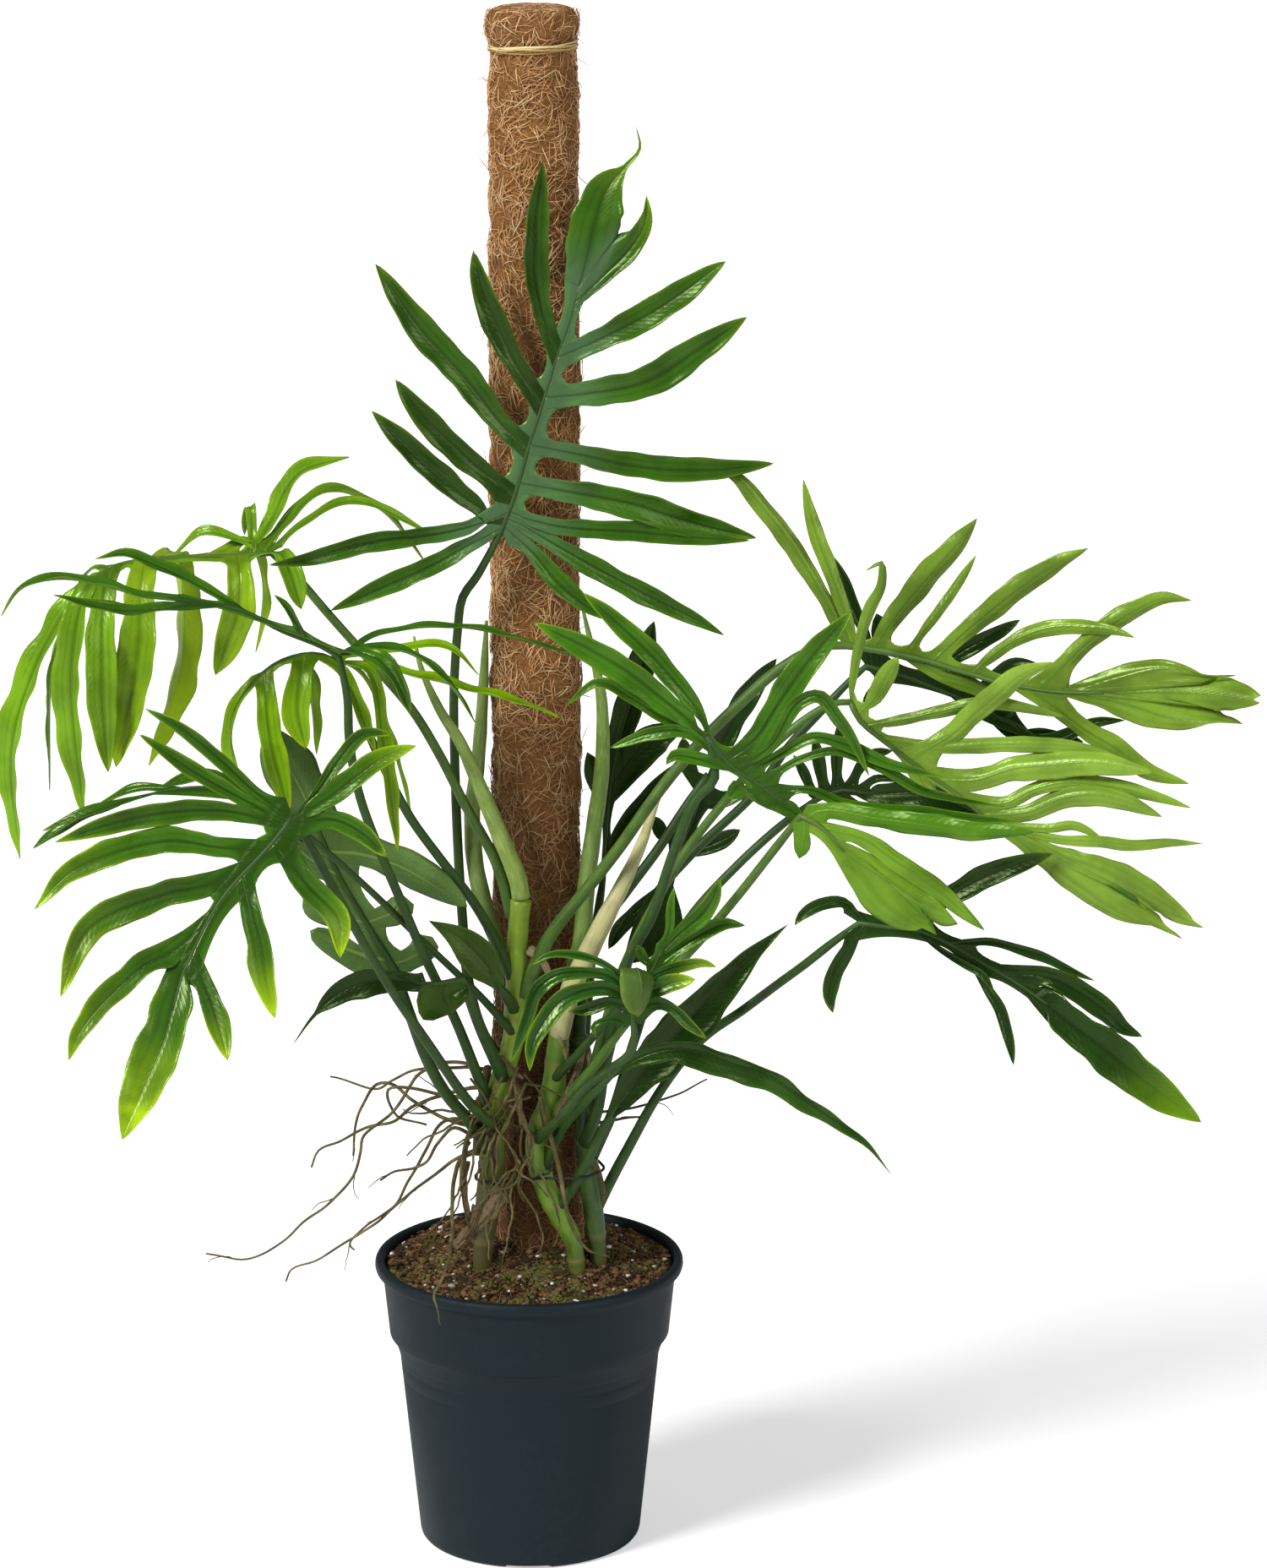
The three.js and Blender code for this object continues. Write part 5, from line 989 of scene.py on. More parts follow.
stalkSkin = finishOf("leaf stalk", skin, 0.25, 0.35, Skin="#2e4c17", Streak="#4c6c2a", Streaks=0.5)
paleStalk = finishOf("pale leaf stalk", skin, 0.25, 0.4, Skin="#4a6c20", Streak="#728f40", Streaks=0.6)

leafFinishes = {name: [leafFinish(name, "front", front), leafFinish(name, "back", back)]
                for name, (_, front, back) in leafLooks.items()}
leafFaces = 0
for spec in leafList:
    look = spec["finish"]
    finishes = [*leafFinishes[look], paleStalk if look in paleStalks else stalkSkin]
    made = growLeaf(spec).piece("fine_" + spec["name"], finishes, [spec["name"]], leafLooks[look][0])
    leafFaces += len(made.data.loops) - 2 * len(made.data.polygons)
print("leaves grown:", len(leafList), "with", leafFaces, "triangles")

# ---- canes, rolled leaves, roots and sheaths: points as [x, z, y], with a radius at each point

# rings: the heights of the leaf scars; ages: how brown and woody the cane is at some heights
canes = {
    "cane_front": {
        "skin": "#84a426", "streak": "#a8ba3e", "rings": [437, 371, 300, 255],
        "ages": ([230, 262, 300, 360, 385], [1.2, 1.0, 0.7, 0.35, 0]),
        "points": [[-5, 513, -56], [-8, 480, -55], [-9, 439, -54], [-12, 400, -53], [-20, 371, -52],
                   [-26, 340, -50], [-28, 300, -48], [-33, 262, -47], [-37, 215, -46], [-38, 160, -46]],
        "radii": [8, 7.8, 8.6, 8, 9.4, 9, 9.8, 9, 8.5, 8]},
    "cane_right": {
        "skin": "#6c9326", "streak": "#8eaa3c", "rings": [398, 352, 285, 240],
        "ages": ([225, 262, 300], [0.6, 0.2, 0]),
        "points": [[25, 425, -50], [22, 385, -50], [17, 352, -50], [6, 320, -50], [12, 285, -50], [22, 262, -50],
                   [34, 238, -50], [38, 205, -50], [39, 160, -50]],
        "radii": [7.5, 8.6, 9.6, 8.6, 8.6, 8.2, 7.6, 7.6, 7.6]},
    "cane_side": {
        "skin": "#3f6222", "streak": "#5c7c38", "rings": [330, 255], "ages": ([220, 250, 300], [0.7, 0.3, 0]),
        "points": [[40, 405, -30], [42, 360, -32], [46, 300, -35], [51, 255, -36], [54, 215, -36], [54, 160, -36]],
        "radii": [6.2, 7.6, 8.2, 8, 8, 8]},
}
caneFoot = ([222, 275], [0.74, 1])  # the canes are thinner down at the soil: heights and shares

spears = {
    "spear_left": {
        "skin": "#86a045", "streak": "#a9bb6c", "slot": "spear_green", "rings": [],
        "points": [[-5, 515, -57], [-8, 531, -58], [-22, 567, -60], [-37, 605, -62], [-51, 638, -64],
                   [-66, 663, -66], [-80, 696, -68], [-85, 720, -70]],
        "radii": [7.6, 7.4, 6.8, 6, 5, 4, 2.6, 1]},
    "spear_back": {
        "skin": "#7f9a4a", "streak": "#a3b56c", "slot": "spear_green", "rings": [470],
        "points": [[-18.5, 466, -46], [-32, 505, -32], [-40, 541, -22], [-42, 586, -12], [-38, 617, -9],
                   [-34, 663, -9], [-30, 732, -13]],
        "radii": [6, 7.2, 7, 6.2, 5.4, 4, 1.4]},
    "spear_right": {
        "skin": "#6f8f3c", "streak": "#93ad55", "slot": "spear_green", "rings": [],
        "points": [[25.5, 423, -49.5], [35, 455, -46], [41, 480, -40], [45, 525, -28], [51, 571, -16],
                   [57, 617, -12], [57, 670, -14], [52, 700, -17], [43, 741, -20]],
        "radii": [7, 7.2, 7.2, 7, 6.6, 6, 4.8, 3.2, 1.2]},
    "spear_yellow": {
        "skin": "#cfc890", "streak": "#b9c070", "slot": "spear_cream", "rings": [],
        "points": [[24, 405, -66], [27, 420, -68], [34, 445, -71], [48, 475, -71], [60, 500, -68], [75, 530, -63],
                   [88, 560, -58], [100, 595, -56], [115, 623, -56]],
        "radii": [8, 8.4, 8.4, 8, 6.8, 5.4, 4, 2.6, 1.2]},
}

rootTrunk = [[-40.5, 309, -44], [-38, 340, -46], [-31, 380, -46]]
leftRoots = [
    [[-31, 376, -46], [-60, 384, -26], [-83, 375, -14], [-94, 360, -14], [-107, 342, -14], [-127, 326, -14],
     [-130, 311, -14], [-139, 287, -14], [-155, 269, -14], [-178, 251, -14], [-199, 233, -14], [-224, 223, -14],
     [-252, 228, -14]],
    [[-40, 313, -44], [-52, 308, -40], [-75, 291, -32], [-99, 271, -32], [-118, 253, -34], [-143, 237, -36],
     [-166, 221, -38], [-185, 214, -38], [-190, 205, -38]],
    [[-34, 364, -46], [-63, 358, -18], [-89, 348, -4], [-104, 336, 0], [-126, 330, 2], [-147, 319, 2],
     [-163, 312, 2], [-169, 299, 2]],
    [[-38, 332, -45], [-65, 338, -14], [-90, 353, 4], [-104, 365, 10], [-117, 366, 12], [-127, 352, 14],
     [-133, 336, 14], [-136, 308, 14]],
    [[-31, 378, -46], [-61, 379, -14], [-89, 377, 8], [-104, 369, 16], [-117, 362, 20], [-135, 367, 22],
     [-153, 372, 22]],
    [[-39, 322, -45], [-59, 330, -46], [-70, 318, -38], [-79, 303, -42], [-89, 297, -44], [-104, 295, -46],
     [-116, 288, -46]],
    [[-38, 336, -45], [-65, 336, -32], [-80, 311, -26], [-94, 287, -28], [-104, 267, -30], [-127, 250, -32],
     [-140, 235, -32], [-136, 231, -32]],
    [[-40, 311, -44], [-52, 306, -44], [-57, 291, -48], [-59, 267, -62], [-60, 247, -82], [-62, 223, -102],
     [-69, 203, -120], [-74, 193, -127], [-72, 183, -129]],
    [[-36, 350, -46], [-70, 358, -24], [-108, 361, -10], [-102, 340, -8], [-79, 333, -6]],
]
rightRoots = [
    [[44, 340, -30], [58, 344, -18], [84, 347, -8], [101, 352, -8], [118, 359, -8], [139, 370, -8]],
    [[44, 334, -30], [60, 336, -20], [78, 339, -14], [93, 339, -12]],
]
# roots that hang down in front of the stems, each with its thickness
frontRoots = [
    ([[9, 356, -64], [15, 330, -68], [24, 298, -68], [27, 275, -68], [33, 250, -68], [46, 231, -70],
      [62, 226, -66]], 1.9),
    ([[-20, 372, -64], [-30, 352, -66], [-44, 330, -62], [-50, 300, -60], [-51, 275, -58], [-47, 250, -58]], 1.5),
    ([[-8, 380, -66], [-20, 350, -68], [-36, 330, -66], [-56, 314, -58]], 1.4),
    ([[-2, 366, -68], [-14, 341, -70], [-24, 318, -68], [-25, 296, -66], [-30, 280, -64]], 1.3),
]

# each sheath as a few strips: points, width and shade
scraps = {
    "dry_sheath_left": [
        ([[-19, 281, -60], [-23, 276, -61], [-32, 260, -60], [-46, 246, -50], [-57, 233, -42]], 15, 0.5),
        ([[-49, 304, -56], [-51, 290, -58], [-50, 275, -58], [-47, 258, -56]], 7, 0.35),
        ([[-30, 330, -60], [-26, 312, -62], [-28, 292, -62]], 6, 0.25),
        ([[-40, 268, -60], [-43, 252, -58], [-50, 240, -52]], 8, 0.2),
    ],
    "dry_sheath_middle": [
        ([[-16, 372, -56], [-9, 362, -66], [-6, 341, -68], [1, 324, -66], [2, 305, -64]], 6, 0.3),
        # smaller bits caught on the stems
        ([[1, 474, -60], [8, 469, -65], [14, 460, -65], [17, 452, -63]], 8, 0.8),
        ([[22, 409, -68], [25, 402, -73], [27, 396, -72]], 4.5, 0.9),
        ([[28, 395, -66], [30, 386, -68], [31, 376, -64]], 3.5, 0.7),
        ([[45, 396, -54], [47, 386, -58], [49, 375, -56]], 5, 0.8),
        ([[44, 402, -56], [40, 384, -62], [33, 364, -67], [25, 347, -68], [19, 330, -66]], 6, 0.45),
        ([[-22, 388, -60], [-12, 378, -64], [-4, 370, -66]], 4, 0.3),
        ([[52, 300, -46], [57, 285, -48], [58, 268, -46]], 4, 0.2),
    ],
}


def stem(heap, points, radii, sides=16, rings=(), shape=None, ages=None):
    # a stem along points, with a raised scar ring at each height in rings
    line, far = evenLine([seen(*p) for p in points], 3.0)
    thick = np.interp(np.linspace(0, 1, len(line)), np.linspace(0, 1, len(radii)), radii)
    scar = np.zeros(len(line))
    for ring in rings:
        thick = thick + 0.5 * np.exp(-((line[:, 2] - ring) / 2.6) ** 2)
        scar = np.maximum(scar, 0.75 * np.exp(-((line[:, 2] - ring) / 1.5) ** 2))
    thick = thick * (1 + 0.02 * np.sin(far * 0.21 + rng.random() * 6))
    if ages:
        thick = thick * np.interp(line[:, 2], *caneFoot)
    points, faces = tube(line, thick, sides, shape=shape)
    heap.add(points, faces, **alongBar(line, far, sides), tone=rng.random(),
             age=np.interp(points[:, 2], *ages) if ages else 0.0, scar=np.append(np.repeat(scar, sides), [0, 0]))


for name, cane in canes.items():
    heap = Heap("along", "turn", "tone", "scar", "age")
    stem(heap, cane["points"], cane["radii"], rings=cane["rings"], ages=cane["ages"])
    finish = finishOf(name.replace("_", " "), skin, 0.3, 0.45, coat=0.1, Skin=cane["skin"], Streak=cane["streak"],
                      Scar="#94804c", Old="#55522c", Dull=0.36)
    heap.piece("fine_" + name, [finish], [name], "cane_green")


def rolled(turn):
    # the radius falls off round the spear, so that a step is left where the leaf's margin lies on itself
    return 1.0 - 0.13 * (turn / fullTurn)


for name, spear in spears.items():
    heap = Heap("along", "turn", "tone", "scar")
    stem(heap, spear["points"], spear["radii"], sides=20, rings=spear["rings"], shape=rolled)
    finish = finishOf(name.replace("_", " "), skin, 0.3, 0.4, Skin=spear["skin"], Streak=spear["streak"],
                      Streaks=0.8, Dull=0.4)
    heap.piece("fine_" + name, [finish], [name], spear["slot"])

# aerial roots, each a little crooked, with short rootlets
bark = finishOf("root bark", skin, 0.4, 0.25, Skin="#57502c", Streak="#94875a", Streaks=0.7, Dull=0.7)


def crooked(points, step, sway):
    # a line that strays from its points
    line, _ = evenLine([seen(*p) for p in points], step)
    for k in range(1, len(line)):
        line[k] += sway * min(1, k / 4) * np.array(noise.noise_vector(Vector(line[k] * 0.045)))
    return line


def rootBunch(name, paths, radius, trunk=None, tangle=0, front=()):
    heap = Heap("along", "turn", "tone", "scar")

    def root(line, thick, shares, sides, long):
        # a bar whose thickness goes through the shares, with streaks as on a length of long
        points, faces = tube(line, [thick * share for share in shares], sides)
        heap.add(points, faces, along=np.linspace(0, long, len(points)), tone=rng.random())

    if trunk:
        stem(heap, trunk, [3.2, 3.8, 3.2], sides=10)
    for path in paths:
        line = crooked(path, 3.5, 1.5)
        thick = radius * rng.uniform(0.75, 1.1)
        root(line, thick, [1.25, 1, 0.85, 0.6], 7, 200)
        for _ in range(max(1, len(line) // 26)):
            # a rootlet that leaves forwards along its root and droops
            k = rng.randrange(5, len(line) - 2)
            way = unit(unit(line[k + 1] - line[k]) + 0.7 * np.array([0, rng.uniform(-1, 1), rng.uniform(-1, 1)]))
            small = [line[k]]
            for _ in range(8):
                small.append(small[-1] + way * rng.uniform(2, 4.5))
                way = unit(way + 0.3 * randomStep((-1, 1), (-1, 1), (-1.2, 0.6)))
            root(small, thick, [0.5, 0.22], 5, 0)
    for _ in range(tangle):
        # thin roots that wander over the stems
        at = randomStep((-48, 4), (-70, -62), (318, 400))
        way, small = unit(randomStep((-1, 1), (-0.1, 0.1), (-1, -0.1))), []
        for _ in range(rng.randrange(9, 20)):
            small.append(at.copy())
            at += way * 4.5
            at[1] = min(-61, max(-74, at[1]))
            way = unit(way + 0.35 * randomStep((-1, 1), (-0.4, 0.4), (-1.1, 0.7)))
        root(small, thick, [0.8, 0.7, 0.4], 6, 80)
    for path, wide in front:
        root(crooked(path, 3, 0.8), wide, [1, 1, 0.8, 0.4], 8, 150)
    heap.piece("fine_" + name, [bark], [name], "root_brown")


rootBunch("roots_left", leftRoots, 1.5, rootTrunk, 30, frontRoots)
rootBunch("roots_right", rightRoots, 1.2)

# papery sheaths, creased lengthways
paper = finishOf("dry sheath", fibre, 0.6, 0.2, Brown="#8a7858", Dark="#4e4028", Straw="#b8a880", Scale=120.0)


def sheath(heap, points, wide, tone):
    # a creased strip of dry sheath, narrowing towards its end
    line, far = evenLine([seen(*p) for p in points], 2.5)
    across, rows = np.array([1, 0, 0.2]), []
    u = np.linspace(-1, 1, 13)
    for k, (middle, way) in enumerate(zip(line, headings(line))):
        t = k / (len(line) - 1)
        across = unit(across - way * across.dot(way))
        up = np.cross(way, across)
        half = wide / 2 * (1 - 0.5 * t) * (1 + 0.12 * math.sin(k * 0.9))
        fold = half * 0.45 * (1 - u ** 2) + 0.5 * np.sin(u * 9 + t * 4) + 0.3 * np.sin(k * 0.7 + u * 3)
        rows.append((middle + (u * half)[:, None] * across + fold[:, None] * up, u * 0, u * half, far[k], t))
    points, front, rim, back, _ = shell([{"rows": rows, "flip": False, "tone": 0.4, "lime": (0, 0)}], 0.6)
    heap.add(points, front + rim + back, tone=tone, damp=0.1)


for name, strips in scraps.items():
    heap = Heap("tone", "damp")
    for points, wide, tone in strips:
        sheath(heap, points, wide, tone)
    heap.piece("fine_" + name, [paper], [name], "dry_sheath")
print("stems, roots and sheaths made")

# ---- pole

# fibreSpan and bandSpan: the heights between which the fibres and the band's strands start
pole = {"axis": 7, "radius": 34, "girth": 214, "foot": 14, "top": 1195, "sides": 72, "fibres": 12000,
        "straws": 900, "loose": 1000, "ends": 380, "fibreSpan": (225, 1188), "stitches": 7, "stitchRise": 28,
        "bandStrands": 11, "bandSpan": (1163.5, 1168.5), "bandOut": 33.2}


def poleOut(z):
    # how far the coir reaches from the pole's middle at a height
    rough = [(14, 34), (300, 34.4), (450, 33.6), (610, 34.4), (760, 33.7), (900, 34.4), (1030, 33.8), (1130, 33.8),
             (1150, 33.4), (1160, 32), (1169, 31.6), (1174, 34.2), (1180, 35.6), (1187, 35.4), (1192, 32.5), (1195, 25)]
    return np.interp(z, *zip(*rough))


def stitch(z, turn):
    # 1 where a stitch of the mat draws it in, falling to 0 between the stitches
    row = round(z / pole["stitchRise"])
    place = turn / fullTurn * pole["stitches"] + (row % 2) * 0.5
    across = (place - round(place)) * pole["girth"] / pole["stitches"]
    return math.exp(-((z - row * pole["stitchRise"]) ** 2 + across ** 2) / 70)


def noiseRound(wide, z, turn):
    # a place in the noise that closes round the pole
    return Vector((math.cos(turn) * wide, math.sin(turn) * wide, z))


def lumps(z, turn):
    # how far the mat bulges there
    place = noiseRound(1.6, z * 0.035, turn)
    return 2.0 * noise.noise(place) + 0.8 * noise.noise(place * 3) - 1.7 * stitch(z, turn)


def dampAt(z):
    return np.interp(z, [215, 380, 560, 720], [0.4, 0.6, 0.4, 0.0])


def onPole(turn, z, out):
    x, y = polar(out, turn)
    return [pole["axis"] + x, y, z]


def coirBody():
    # the mat, and a fibre heap each for the fibres that lie in it and for the loose ones
    sides, foot, top = pole["sides"], pole["foot"], pole["top"]
    heights = np.concatenate([np.arange(foot, 1150, 6), np.arange(1150, 1192, 3), [1192, top]])
    turns = [fullTurn * k / sides for k in range(sides)]
    points = [onPole(turn, z, poleOut(z) + lumps(z, turn) - 1.3) for z in heights for turn in turns]
    points = np.array(points + [[pole["axis"], 0, foot], [pole["axis"], 0, top]])
    heap, strands = Heap("tone", "damp"), Heap("tone", "damp")
    heap.add(points, barFaces(len(heights), sides), tone=0.3, damp=dampAt(points[:, 2]) * 0.9)
    strawsEnd, steps = pole["fibres"] + pole["straws"], 4
    for index in range(strawsEnd + pole["loose"]):
        straw, loose = pole["fibres"] <= index < strawsEnd, index >= strawsEnd
        z, turn = rng.uniform(*pole["fibreSpan"]), rng.uniform(0, fullTurn)
        way = 9 * noise.noise(noiseRound(1.5, z * 0.05, turn)) + rng.uniform(-1.3, 1.3)
        bend = rng.choice([-1, 1]) * rng.uniform(0.01, 0.075) * (0.1 if straw else 1)
        long = rng.uniform(10, 26) if straw else rng.uniform(13, 32)
        lift = rng.random() ** 5 * 12 + 0.8
        points, proud, tucked = [], rng.random(), stitch(z, turn)
        for k in range(steps):
            share = k / (steps - 1)
            out = poleOut(min(1190, z)) + 0.8 * math.sin(math.pi * share) + lumps(z, turn) + 1.6 * proud - 1.5
            if loose:
                out += lift * share ** 1.6
            points.append(onPole(turn, min(z, 1193), out))
            way += bend * long / steps
            turn += math.cos(way) * long / steps / pole["radius"]
            z += math.sin(way) * long / steps
        radius = rng.uniform(0.28, 0.42) if straw else rng.uniform(0.22, 0.38)
        made, faces = tube(points, [radius * 0.6, radius, radius, radius * 0.4], 3)
        # the fibres that stand proud are painted lighter, as a painted highlight, and the deep ones and those at the
        # stitches darker, as painted shade
        tone = rng.uniform(0.85, 1.1) if straw else (0.7 * proud + rng.uniform(-0.15, 0.2)) * (1 - 0.6 * tucked)
        (strands if index % 2 else heap).add(made, faces, 1, tone=tone, damp=dampAt(made[:, 2]))
    for _ in range(pole["ends"]):
        # over the top end
        turn, r, way, points = anyWay(), 30 * math.sqrt(rng.random()), anyWay(), []
        x, y = polar(r, turn)
        bend = rng.uniform(-0.12, 0.12)
        for _ in range(5):
            fall = 2.4 * max(0, math.hypot(x, y) - 25) / 6
            points.append([pole["axis"] + x, y, 1194.7 - fall + rng.uniform(-0.4, 0.3)])
            way += bend * 5
            x, y = x + 5 * math.cos(way), y + 5 * math.sin(way)
            if math.hypot(x, y) > 31:
                break
        if len(points) > 2:
            strands.addBar(points, [0.25, 0.45, 0.25], 3, 1, tone=rng.random() ** 1.3 * 0.9)
    return heap, strands


# the mat is coloured darker than the fibres lying on it: painted shade in the gaps between the fibres
coirFinishes = [finishOf("coir mat", fibre, 2.4, 0.15, Brown="#bb844c", Dark="#503218", Scale=320.0),
                finishOf("coir fibre", fibre, 0.3, 0.3, Brown="#f8c488", Dark="#8a5a30", Straw="#ffecb8", Scale=500.0)]
coirHeap, strandHeap = coirBody()
coirHeap.piece("fine_coir", coirFinishes, ["pole_coir"], "coir")
strandHeap.piece("fine_coir_strands", coirFinishes, [], "coir")

# the straw band near the top: strands wound round, with a few ends
heap = Heap("tone", "damp")
for _ in range(pole["bandStrands"]):
    z = rng.uniform(*pole["bandSpan"])
    turns = np.linspace(0, fullTurn * rng.uniform(0.7, 1.0), 60) + anyWay()
    wave = anyWay()
    points = [onPole(a, z + 1.5 * math.cos(a) + 1.1 * math.sin(2 * a + wave),
                     pole["bandOut"] + 0.4 * math.sin(3 * a + wave)) for a in turns]
    heap.addBar(points, [0.2, 0.4, 0.5, 0.4, 0.2], 6, tone=rng.uniform(0.2, 1.0))
straw = finishOf("straw band", fibre, 0.4, 0.35, Brown="#c9a05a", Dark="#7c5a2c", Straw="#fff0b8", Scale=400.0)
heap.piece("fine_band", [straw], ["pole_band"], "straw_tie")

# the thin tie round the stems, as [x, y], and its free end
tie = {"height": 309, "radius": 1.1, "end": [[5, -63, 309], [9, -65.5, 313], [16, -66, 315], [20, -67, 320]]}
tieRound = [[-40, -46], [-38.4, -56], [-28, -61], [6, -62.6], [38, -67], [44, -64], [55, -47], [58.5, -36],
            [56, -25], [44, 4], [36, 21], [22, 33.5], [7, 36.6], [-9, 32.8], [-22, 22], [-30, 5], [-34, -20],
            [-40, -46]]
heap = Heap("along", "turn", "tone", "scar")
loop = [[x, y, tie["height"] + 2.5 * math.sin(x * 0.05)] for x, y in tieRound]
heap.addBar(evenLine(loop, 2.5)[0], [tie["radius"]], 10)
heap.addBar(evenLine(tie["end"], 2)[0], [1.0, 0.8], 8)
wire = finishOf("tie wire", plastic, 0.1, 0.4, Plastic="#1f2624", Dust="#3c4238")
heap.piece("fine_tie", [wire], ["plant_tie"], "tie_wire")
print("pole made")

# ---- soil

# level: of the surface at the wall; each kind of lump as how many and from what to what size
soil = {"level": 222.5, "reach": 109, "wall": 111.2, "rings": 34, "sides": 96, "crumbs": (3900, (0.7, 3.4)),
        "chips": (60, (2.6, 6.5)), "perlite": (400, (0.7, 2.9)), "threads": 900, "mossLumps": 70}
# where moss grows: x, y and how wide
mossClumps = [(-20, -66, 13), (-2, -62, 12), (8, -76, 10), (-38, -72, 12), (-78, -42, 15), (-62, -20, 12),
              (-4, -92, 9), (22, -88, 8), (38, -74, 8)]


def soilTop(x, y):
    # heaped round the pole and once more behind it, rough, and level at the pot's wall
    r = math.hypot(x - pole["axis"], y)
    heap = 33 * math.exp(-((r / 74) ** 2)) + 13 * math.exp(-(((x + 42) / 48) ** 2 + ((y - 48) / 55) ** 2))
    rough = 1.6 * math.sin(x * 0.11 + 1) * math.cos(y * 0.13) + 1.1 * math.sin(x * 0.31 - y * 0.23)
    fine = 3.0 * noise.noise(Vector((x * 0.07, y * 0.07, 3))) + 1.6 * noise.noise(Vector((x * 0.2, y * 0.2, 7)))
    rise = min(1, (112 - math.hypot(x, y)) / 16)
    return soil["level"] + (heap - 7.5 + rough + fine) * rise


def lump():
    # a small lump with twelve corners, 1 mm in radius
    phi = (1 + 5 ** 0.5) / 2
    corners = [(0, s, t * phi) for s in (1, -1) for t in (1, -1)]
    corners = np.array(corners + [(b, c, a) for a, b, c in corners] + [(c, a, b) for a, b, c in corners], float)
    corners /= np.linalg.norm(corners[0])

    def near(*ends):
        return max(np.linalg.norm(corners[a] - corners[b]) for a in ends for b in ends) < 1.2

    faces = [(i, j, k) for i in range(12) for j in range(i + 1, 12) for k in range(j + 1, 12) if near(i, j, k)]
    outward = [np.dot(np.cross(corners[j] - corners[i], corners[k] - corners[i]), corners[i]) > 0 for i, j, k in faces]
    return corners, [face if out else face[::-1] for face, out in zip(faces, outward)]


lumpCorners, lumpFaces = lump()


def scatter(heap, count, sizes, part, flat=0.7, **marks):
    # lumps of many sizes over the soil, most of them small
    for _ in range(count):
        turn, r = rng.uniform(0, fullTurn), soil["reach"] * math.sqrt(rng.random())
        x, y = polar(r, turn)
        if math.hypot(x - pole["axis"], y) < pole["radius"] - 1:
            continue
        size = sizes[0] + (sizes[1] - sizes[0]) * rng.random() ** 2
        stretch = np.array([rng.uniform(0.7, 1.4), rng.uniform(0.7, 1.3), rng.uniform(0.5, 1) * flat]) * size
        spin = anyWay()
        c, s = math.cos(spin), math.sin(spin)
        shape = lumpCorners * np.array([[rng.uniform(0.75, 1.2)] for _ in range(12)]) * stretch
        shape = shape @ np.array([[c, s, 0], [-s, c, 0], [0, 0, 1]]) + [x, y, soilTop(x, y) + size * 0.25]
        heap.add(shape, lumpFaces, part, tone=rng.random(), **marks)


def soilBed():
    # the soil's surface, its sides down the pot's wall and its foot
    heap = Heap("tone", "moss")
    rings, sides, wall, foot = soil["rings"], soil["sides"], soil["wall"], 2.5
    turns = [fullTurn * k / sides for k in range(sides)]
    points = [[0, 0, soilTop(0, 0)]]
    for i in range(1, rings + 1):
        places = [polar(wall * i / rings, turn) for turn in turns]
        points += [[x, y, soilTop(x, y) if i < rings else 221] for x, y in places]
    walls = [(111.7, 218), (110.6, 211), (107.7, 174.6), (105.3, 164.6), (98.6, 150.2), (84.4, 9.4), (60.8, 8.9),
             (58.8, foot)]
    points += [[*polar(r, turn), z] for r, z in walls for turn in turns]
    points.append([0, 0, foot])

    def at(i, k):
        return 1 + (i - 1) * sides + k % sides

    last = rings + len(walls)
    faces = [(0, at(1, k), at(1, k + 1)) for k in range(sides)]
    faces += [(at(i, k), at(i + 1, k), at(i + 1, k + 1), at(i, k + 1)) for i in range(1, last) for k in range(sides)]
    faces += [(at(last, k + 1), at(last, k), len(points) - 1) for k in range(sides)]
    heap.add(np.array(points, float), faces, tone=0.1, moss=1.0)
    scatter(heap, *soil["crumbs"], 0, moss=0.9)
    scatter(heap, *soil["chips"], 0, flat=0.5)
    for x, y, wide in mossClumps:
        for _ in range(soil["mossLumps"]):
            turn, out = rng.uniform(0, fullTurn), wide * rng.random() ** 0.8
            place = [x + out * math.cos(turn), y + out * math.sin(turn)]
            size = rng.uniform(0.7, 1.8)
            shape = lumpCorners * size + [*place, soilTop(*place) + rng.uniform(0, 1.8) * (1 - out / wide)]
            heap.add(shape, lumpFaces, tone=rng.uniform(0.2, 0.9), moss=rng.uniform(1.3, 2.0))
    scatter(heap, *soil["perlite"], 1)
    for _ in range(soil["threads"]):
        turn, r = rng.uniform(0, fullTurn), 104 * math.sqrt(rng.random())
        x, y = polar(r, turn)
        way, bend, points = anyWay(), rng.uniform(-0.25, 0.25), []
        long = rng.uniform(6, 20)
        for k in range(7):
            if math.hypot(x, y) < 108:
                points.append([x, y, soilTop(x, y) + 0.6 + 1.6 * math.sin(math.pi * k / 6) * rng.uniform(0.3, 1)])
            way += bend
            x, y = x + math.cos(way) * long / 6, y + math.sin(way) * long / 6
        if len(points) > 3:
            heap.addBar(points, [0.2, 0.42, 0.2], 3, tone=rng.uniform(0.6, 1.0))
    return heap


peat = finishOf("potting mix", mix, 1.5, 0.2)
perlite = finishOf("perlite", mix, 0.6, 0.3, Peat="#cfcabd", Rust="#f4f2ea", Mossy=0.0)
soilBed().piece("fine_soil", [peat, perlite], ["soil"], "soil_mix")
print("soil made")

# ---- pot

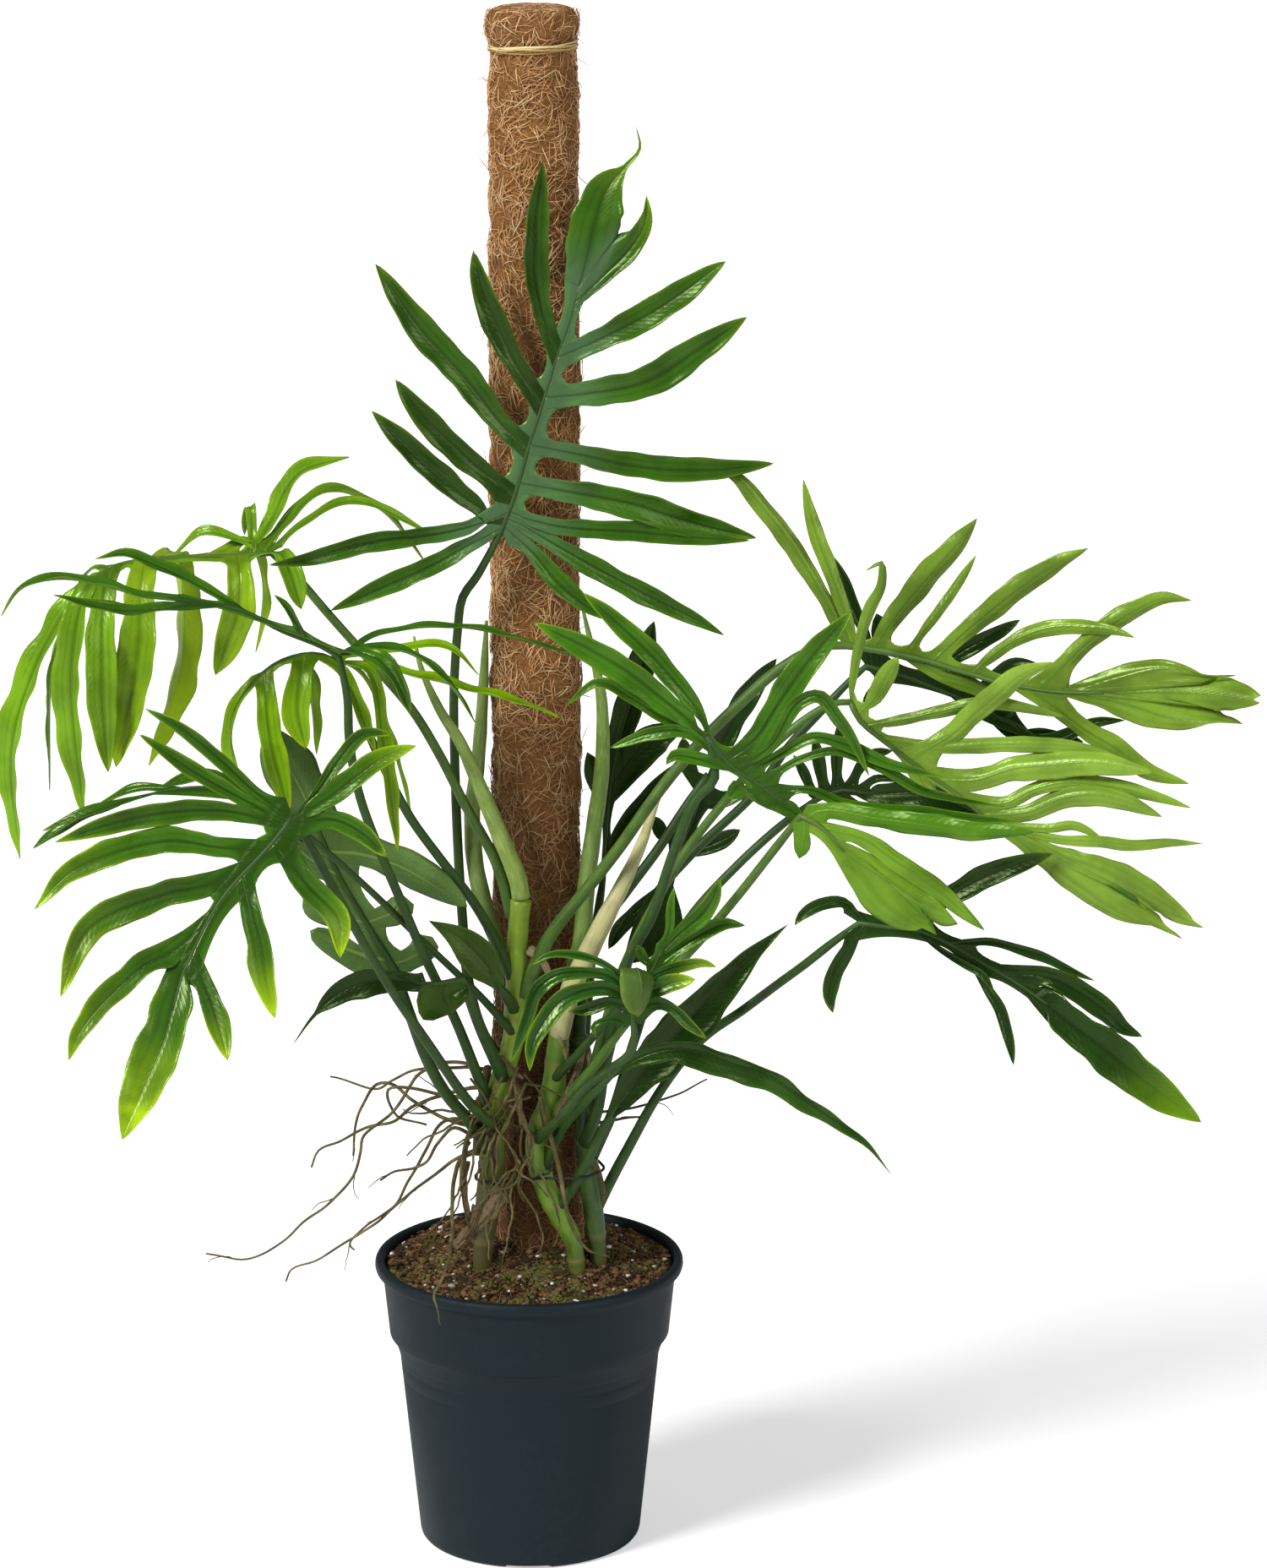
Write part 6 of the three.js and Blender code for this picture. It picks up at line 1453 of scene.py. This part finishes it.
# the wall's outline as radius and height, from the middle of its foot up outside and down inside; footGap is
# half the width of the gaps between its four feet, and footRise their height
pot = {"sides": 128, "footGap": 17, "footRise": 5.2, "outline": [
    (0, 0), (58, 0), (59.6, 0.6), (60.4, 2), (61, 5.6), (62.2, 6.4), (74.6, 6.4), (76, 5.8), (77.2, 0.8), (78, 0),
    (82.4, 0), (84.4, 0.7), (85.8, 2.6), (86.5, 5.4), (99.3, 131.2), (99.1, 131.9), (99.5, 132.6), (100.5, 142.6),
    (100.25, 143.3), (100.7, 144), (101, 149.6), (101.5, 150.8), (101.8, 151.4), (102.6, 154.6), (105.6, 162.6),
    (106.7, 164.8), (108.3, 165.5), (109, 166.6), (109.7, 173.4), (113.9, 214), (114.5, 215.8), (115.8, 216.8),
    (118.2, 217.4), (119.4, 218.8), (120, 221), (119.8, 224), (118.8, 226), (117, 227), (114.6, 226.7), (113, 225),
    (112.2, 220), (110.9, 209), (108, 174.4), (105.6, 164.4), (98.9, 150), (84.8, 9), (61, 8.6), (59, 2.2),
    (0, 2.2)]}


def potWall():
    sides = pot["sides"]
    foot, *outline, floor = pot["outline"]
    points = []
    for r, z in outline:
        for k in range(sides):
            turn = fullTurn * (k + 0.5) / sides
            rise = 0.0
            if z < 1 and 76 < r < 86:
                # the foot ring is cut away between its feet
                off = min(abs(math.remainder(turn - q * math.pi / 2, fullTurn)) for q in range(4)) * r
                rise = pot["footRise"] * float(np.clip((pot["footGap"] - off) / 4, 0, 1))
            points.append([*polar(r, turn), z + rise])
    points += [[0, 0, foot[1]], [0, 0, floor[1]]]
    return np.array(points, float), barFaces(len(outline), sides)


heap = Heap("tone")
heap.add(*potWall())
potFinish = finishOf("pot plastic", plastic, 0.12, 0.2, (0.7, 0.92, 1, 1))
heap.piece("fine_pot", [potFinish], ["pot"], "pot_plastic")
print("pot made")

# the stake inside the pole keeps its CAD shape
stake = finishOf("stake wood", fibre, 0.4, 0.3, Brown="#a98a5c", Dark="#6d5433", Scale=90.0)
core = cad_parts["pole_core"]
core.data.materials.clear()
core.data.materials.append(stake)

# ---- floor, light and camera

view = {"pitch": 13.97, "sensor": 36, "lens": 124.14}
floorShine, skyLight = 0.46, 0.17


def showInScene(name, data):
    made = bpy.data.objects.new(name, data)
    bpy.context.scene.collection.objects.link(made)
    return made


# a white floor that the camera sees a little lighter than it is lit
floorMesh = bpy.data.meshes.new("floor")
floorMesh.from_pydata([(x, y, -0.0005) for x, y in ((-30, -8), (30, -8), (30, 60), (-30, 60))], [], [(0, 1, 2, 3)])
floorFinish = bpy.data.materials.new("pale floor")
floorFinish.use_nodes = True
tree = floorFinish.node_tree
tree.nodes.clear()
floorSkin = put(tree, "BsdfPrincipled", {
    "Base Color": (0.93, 0.93, 0.93, 1), "Roughness": 0.9, "Emission Color": (floorShine,) * 3 + (1,),
    "Emission Strength": put(tree, "LightPath").outputs["Is Camera Ray"]})
put(tree, "OutputMaterial", {"Surface": floorSkin.outputs[0]})
floorMesh.materials.append(floorFinish)
floor = showInScene("floor", floorMesh)

# a dim white sky that looks white to the camera
world = bpy.data.worlds.new("studio")
world.use_nodes = True
tree = world.node_tree
tree.nodes.clear()
dim = put(tree, "Background", {"Color": (1, 1, 1, 1), "Strength": skyLight})
bright = put(tree, "Background", {"Color": (1, 1, 1, 1)})
sky = put(tree, "MixShader", {0: put(tree, "LightPath").outputs["Is Camera Ray"], 1: dim.outputs[0],
                              2: bright.outputs[0]})
put(tree, "OutputWorld", {"Surface": sky.outputs[0]})
bpy.context.scene.world = world


def softLight(name, at, aim, spread, power):
    light = bpy.data.lights.new(name, "SUN")
    light.angle, light.energy = math.radians(spread), power
    made = showInScene(name, light)
    made.location = at
    made.rotation_mode = "QUATERNION"
    made.rotation_quaternion = (Vector(aim) - Vector(at)).to_track_quat("-Z", "Y")


softLight("key light", (-1.8, -1.55, 2.4), (0, 0, 0.6), 20, 3.1)
softLight("fill light", (2.0, -2.0, 1.9), (0, 0, 0.6), 30, 0.8)

camera = showInScene("camera", bpy.data.cameras.new("camera"))
camera.location = eye * 0.001
camera.rotation_euler = (math.radians(90 - view["pitch"]), 0, 0)
camera.data.sensor_width, camera.data.lens = view["sensor"], view["lens"]
bpy.context.scene.camera = camera
bpy.context.scene.view_settings.view_transform = "Standard"
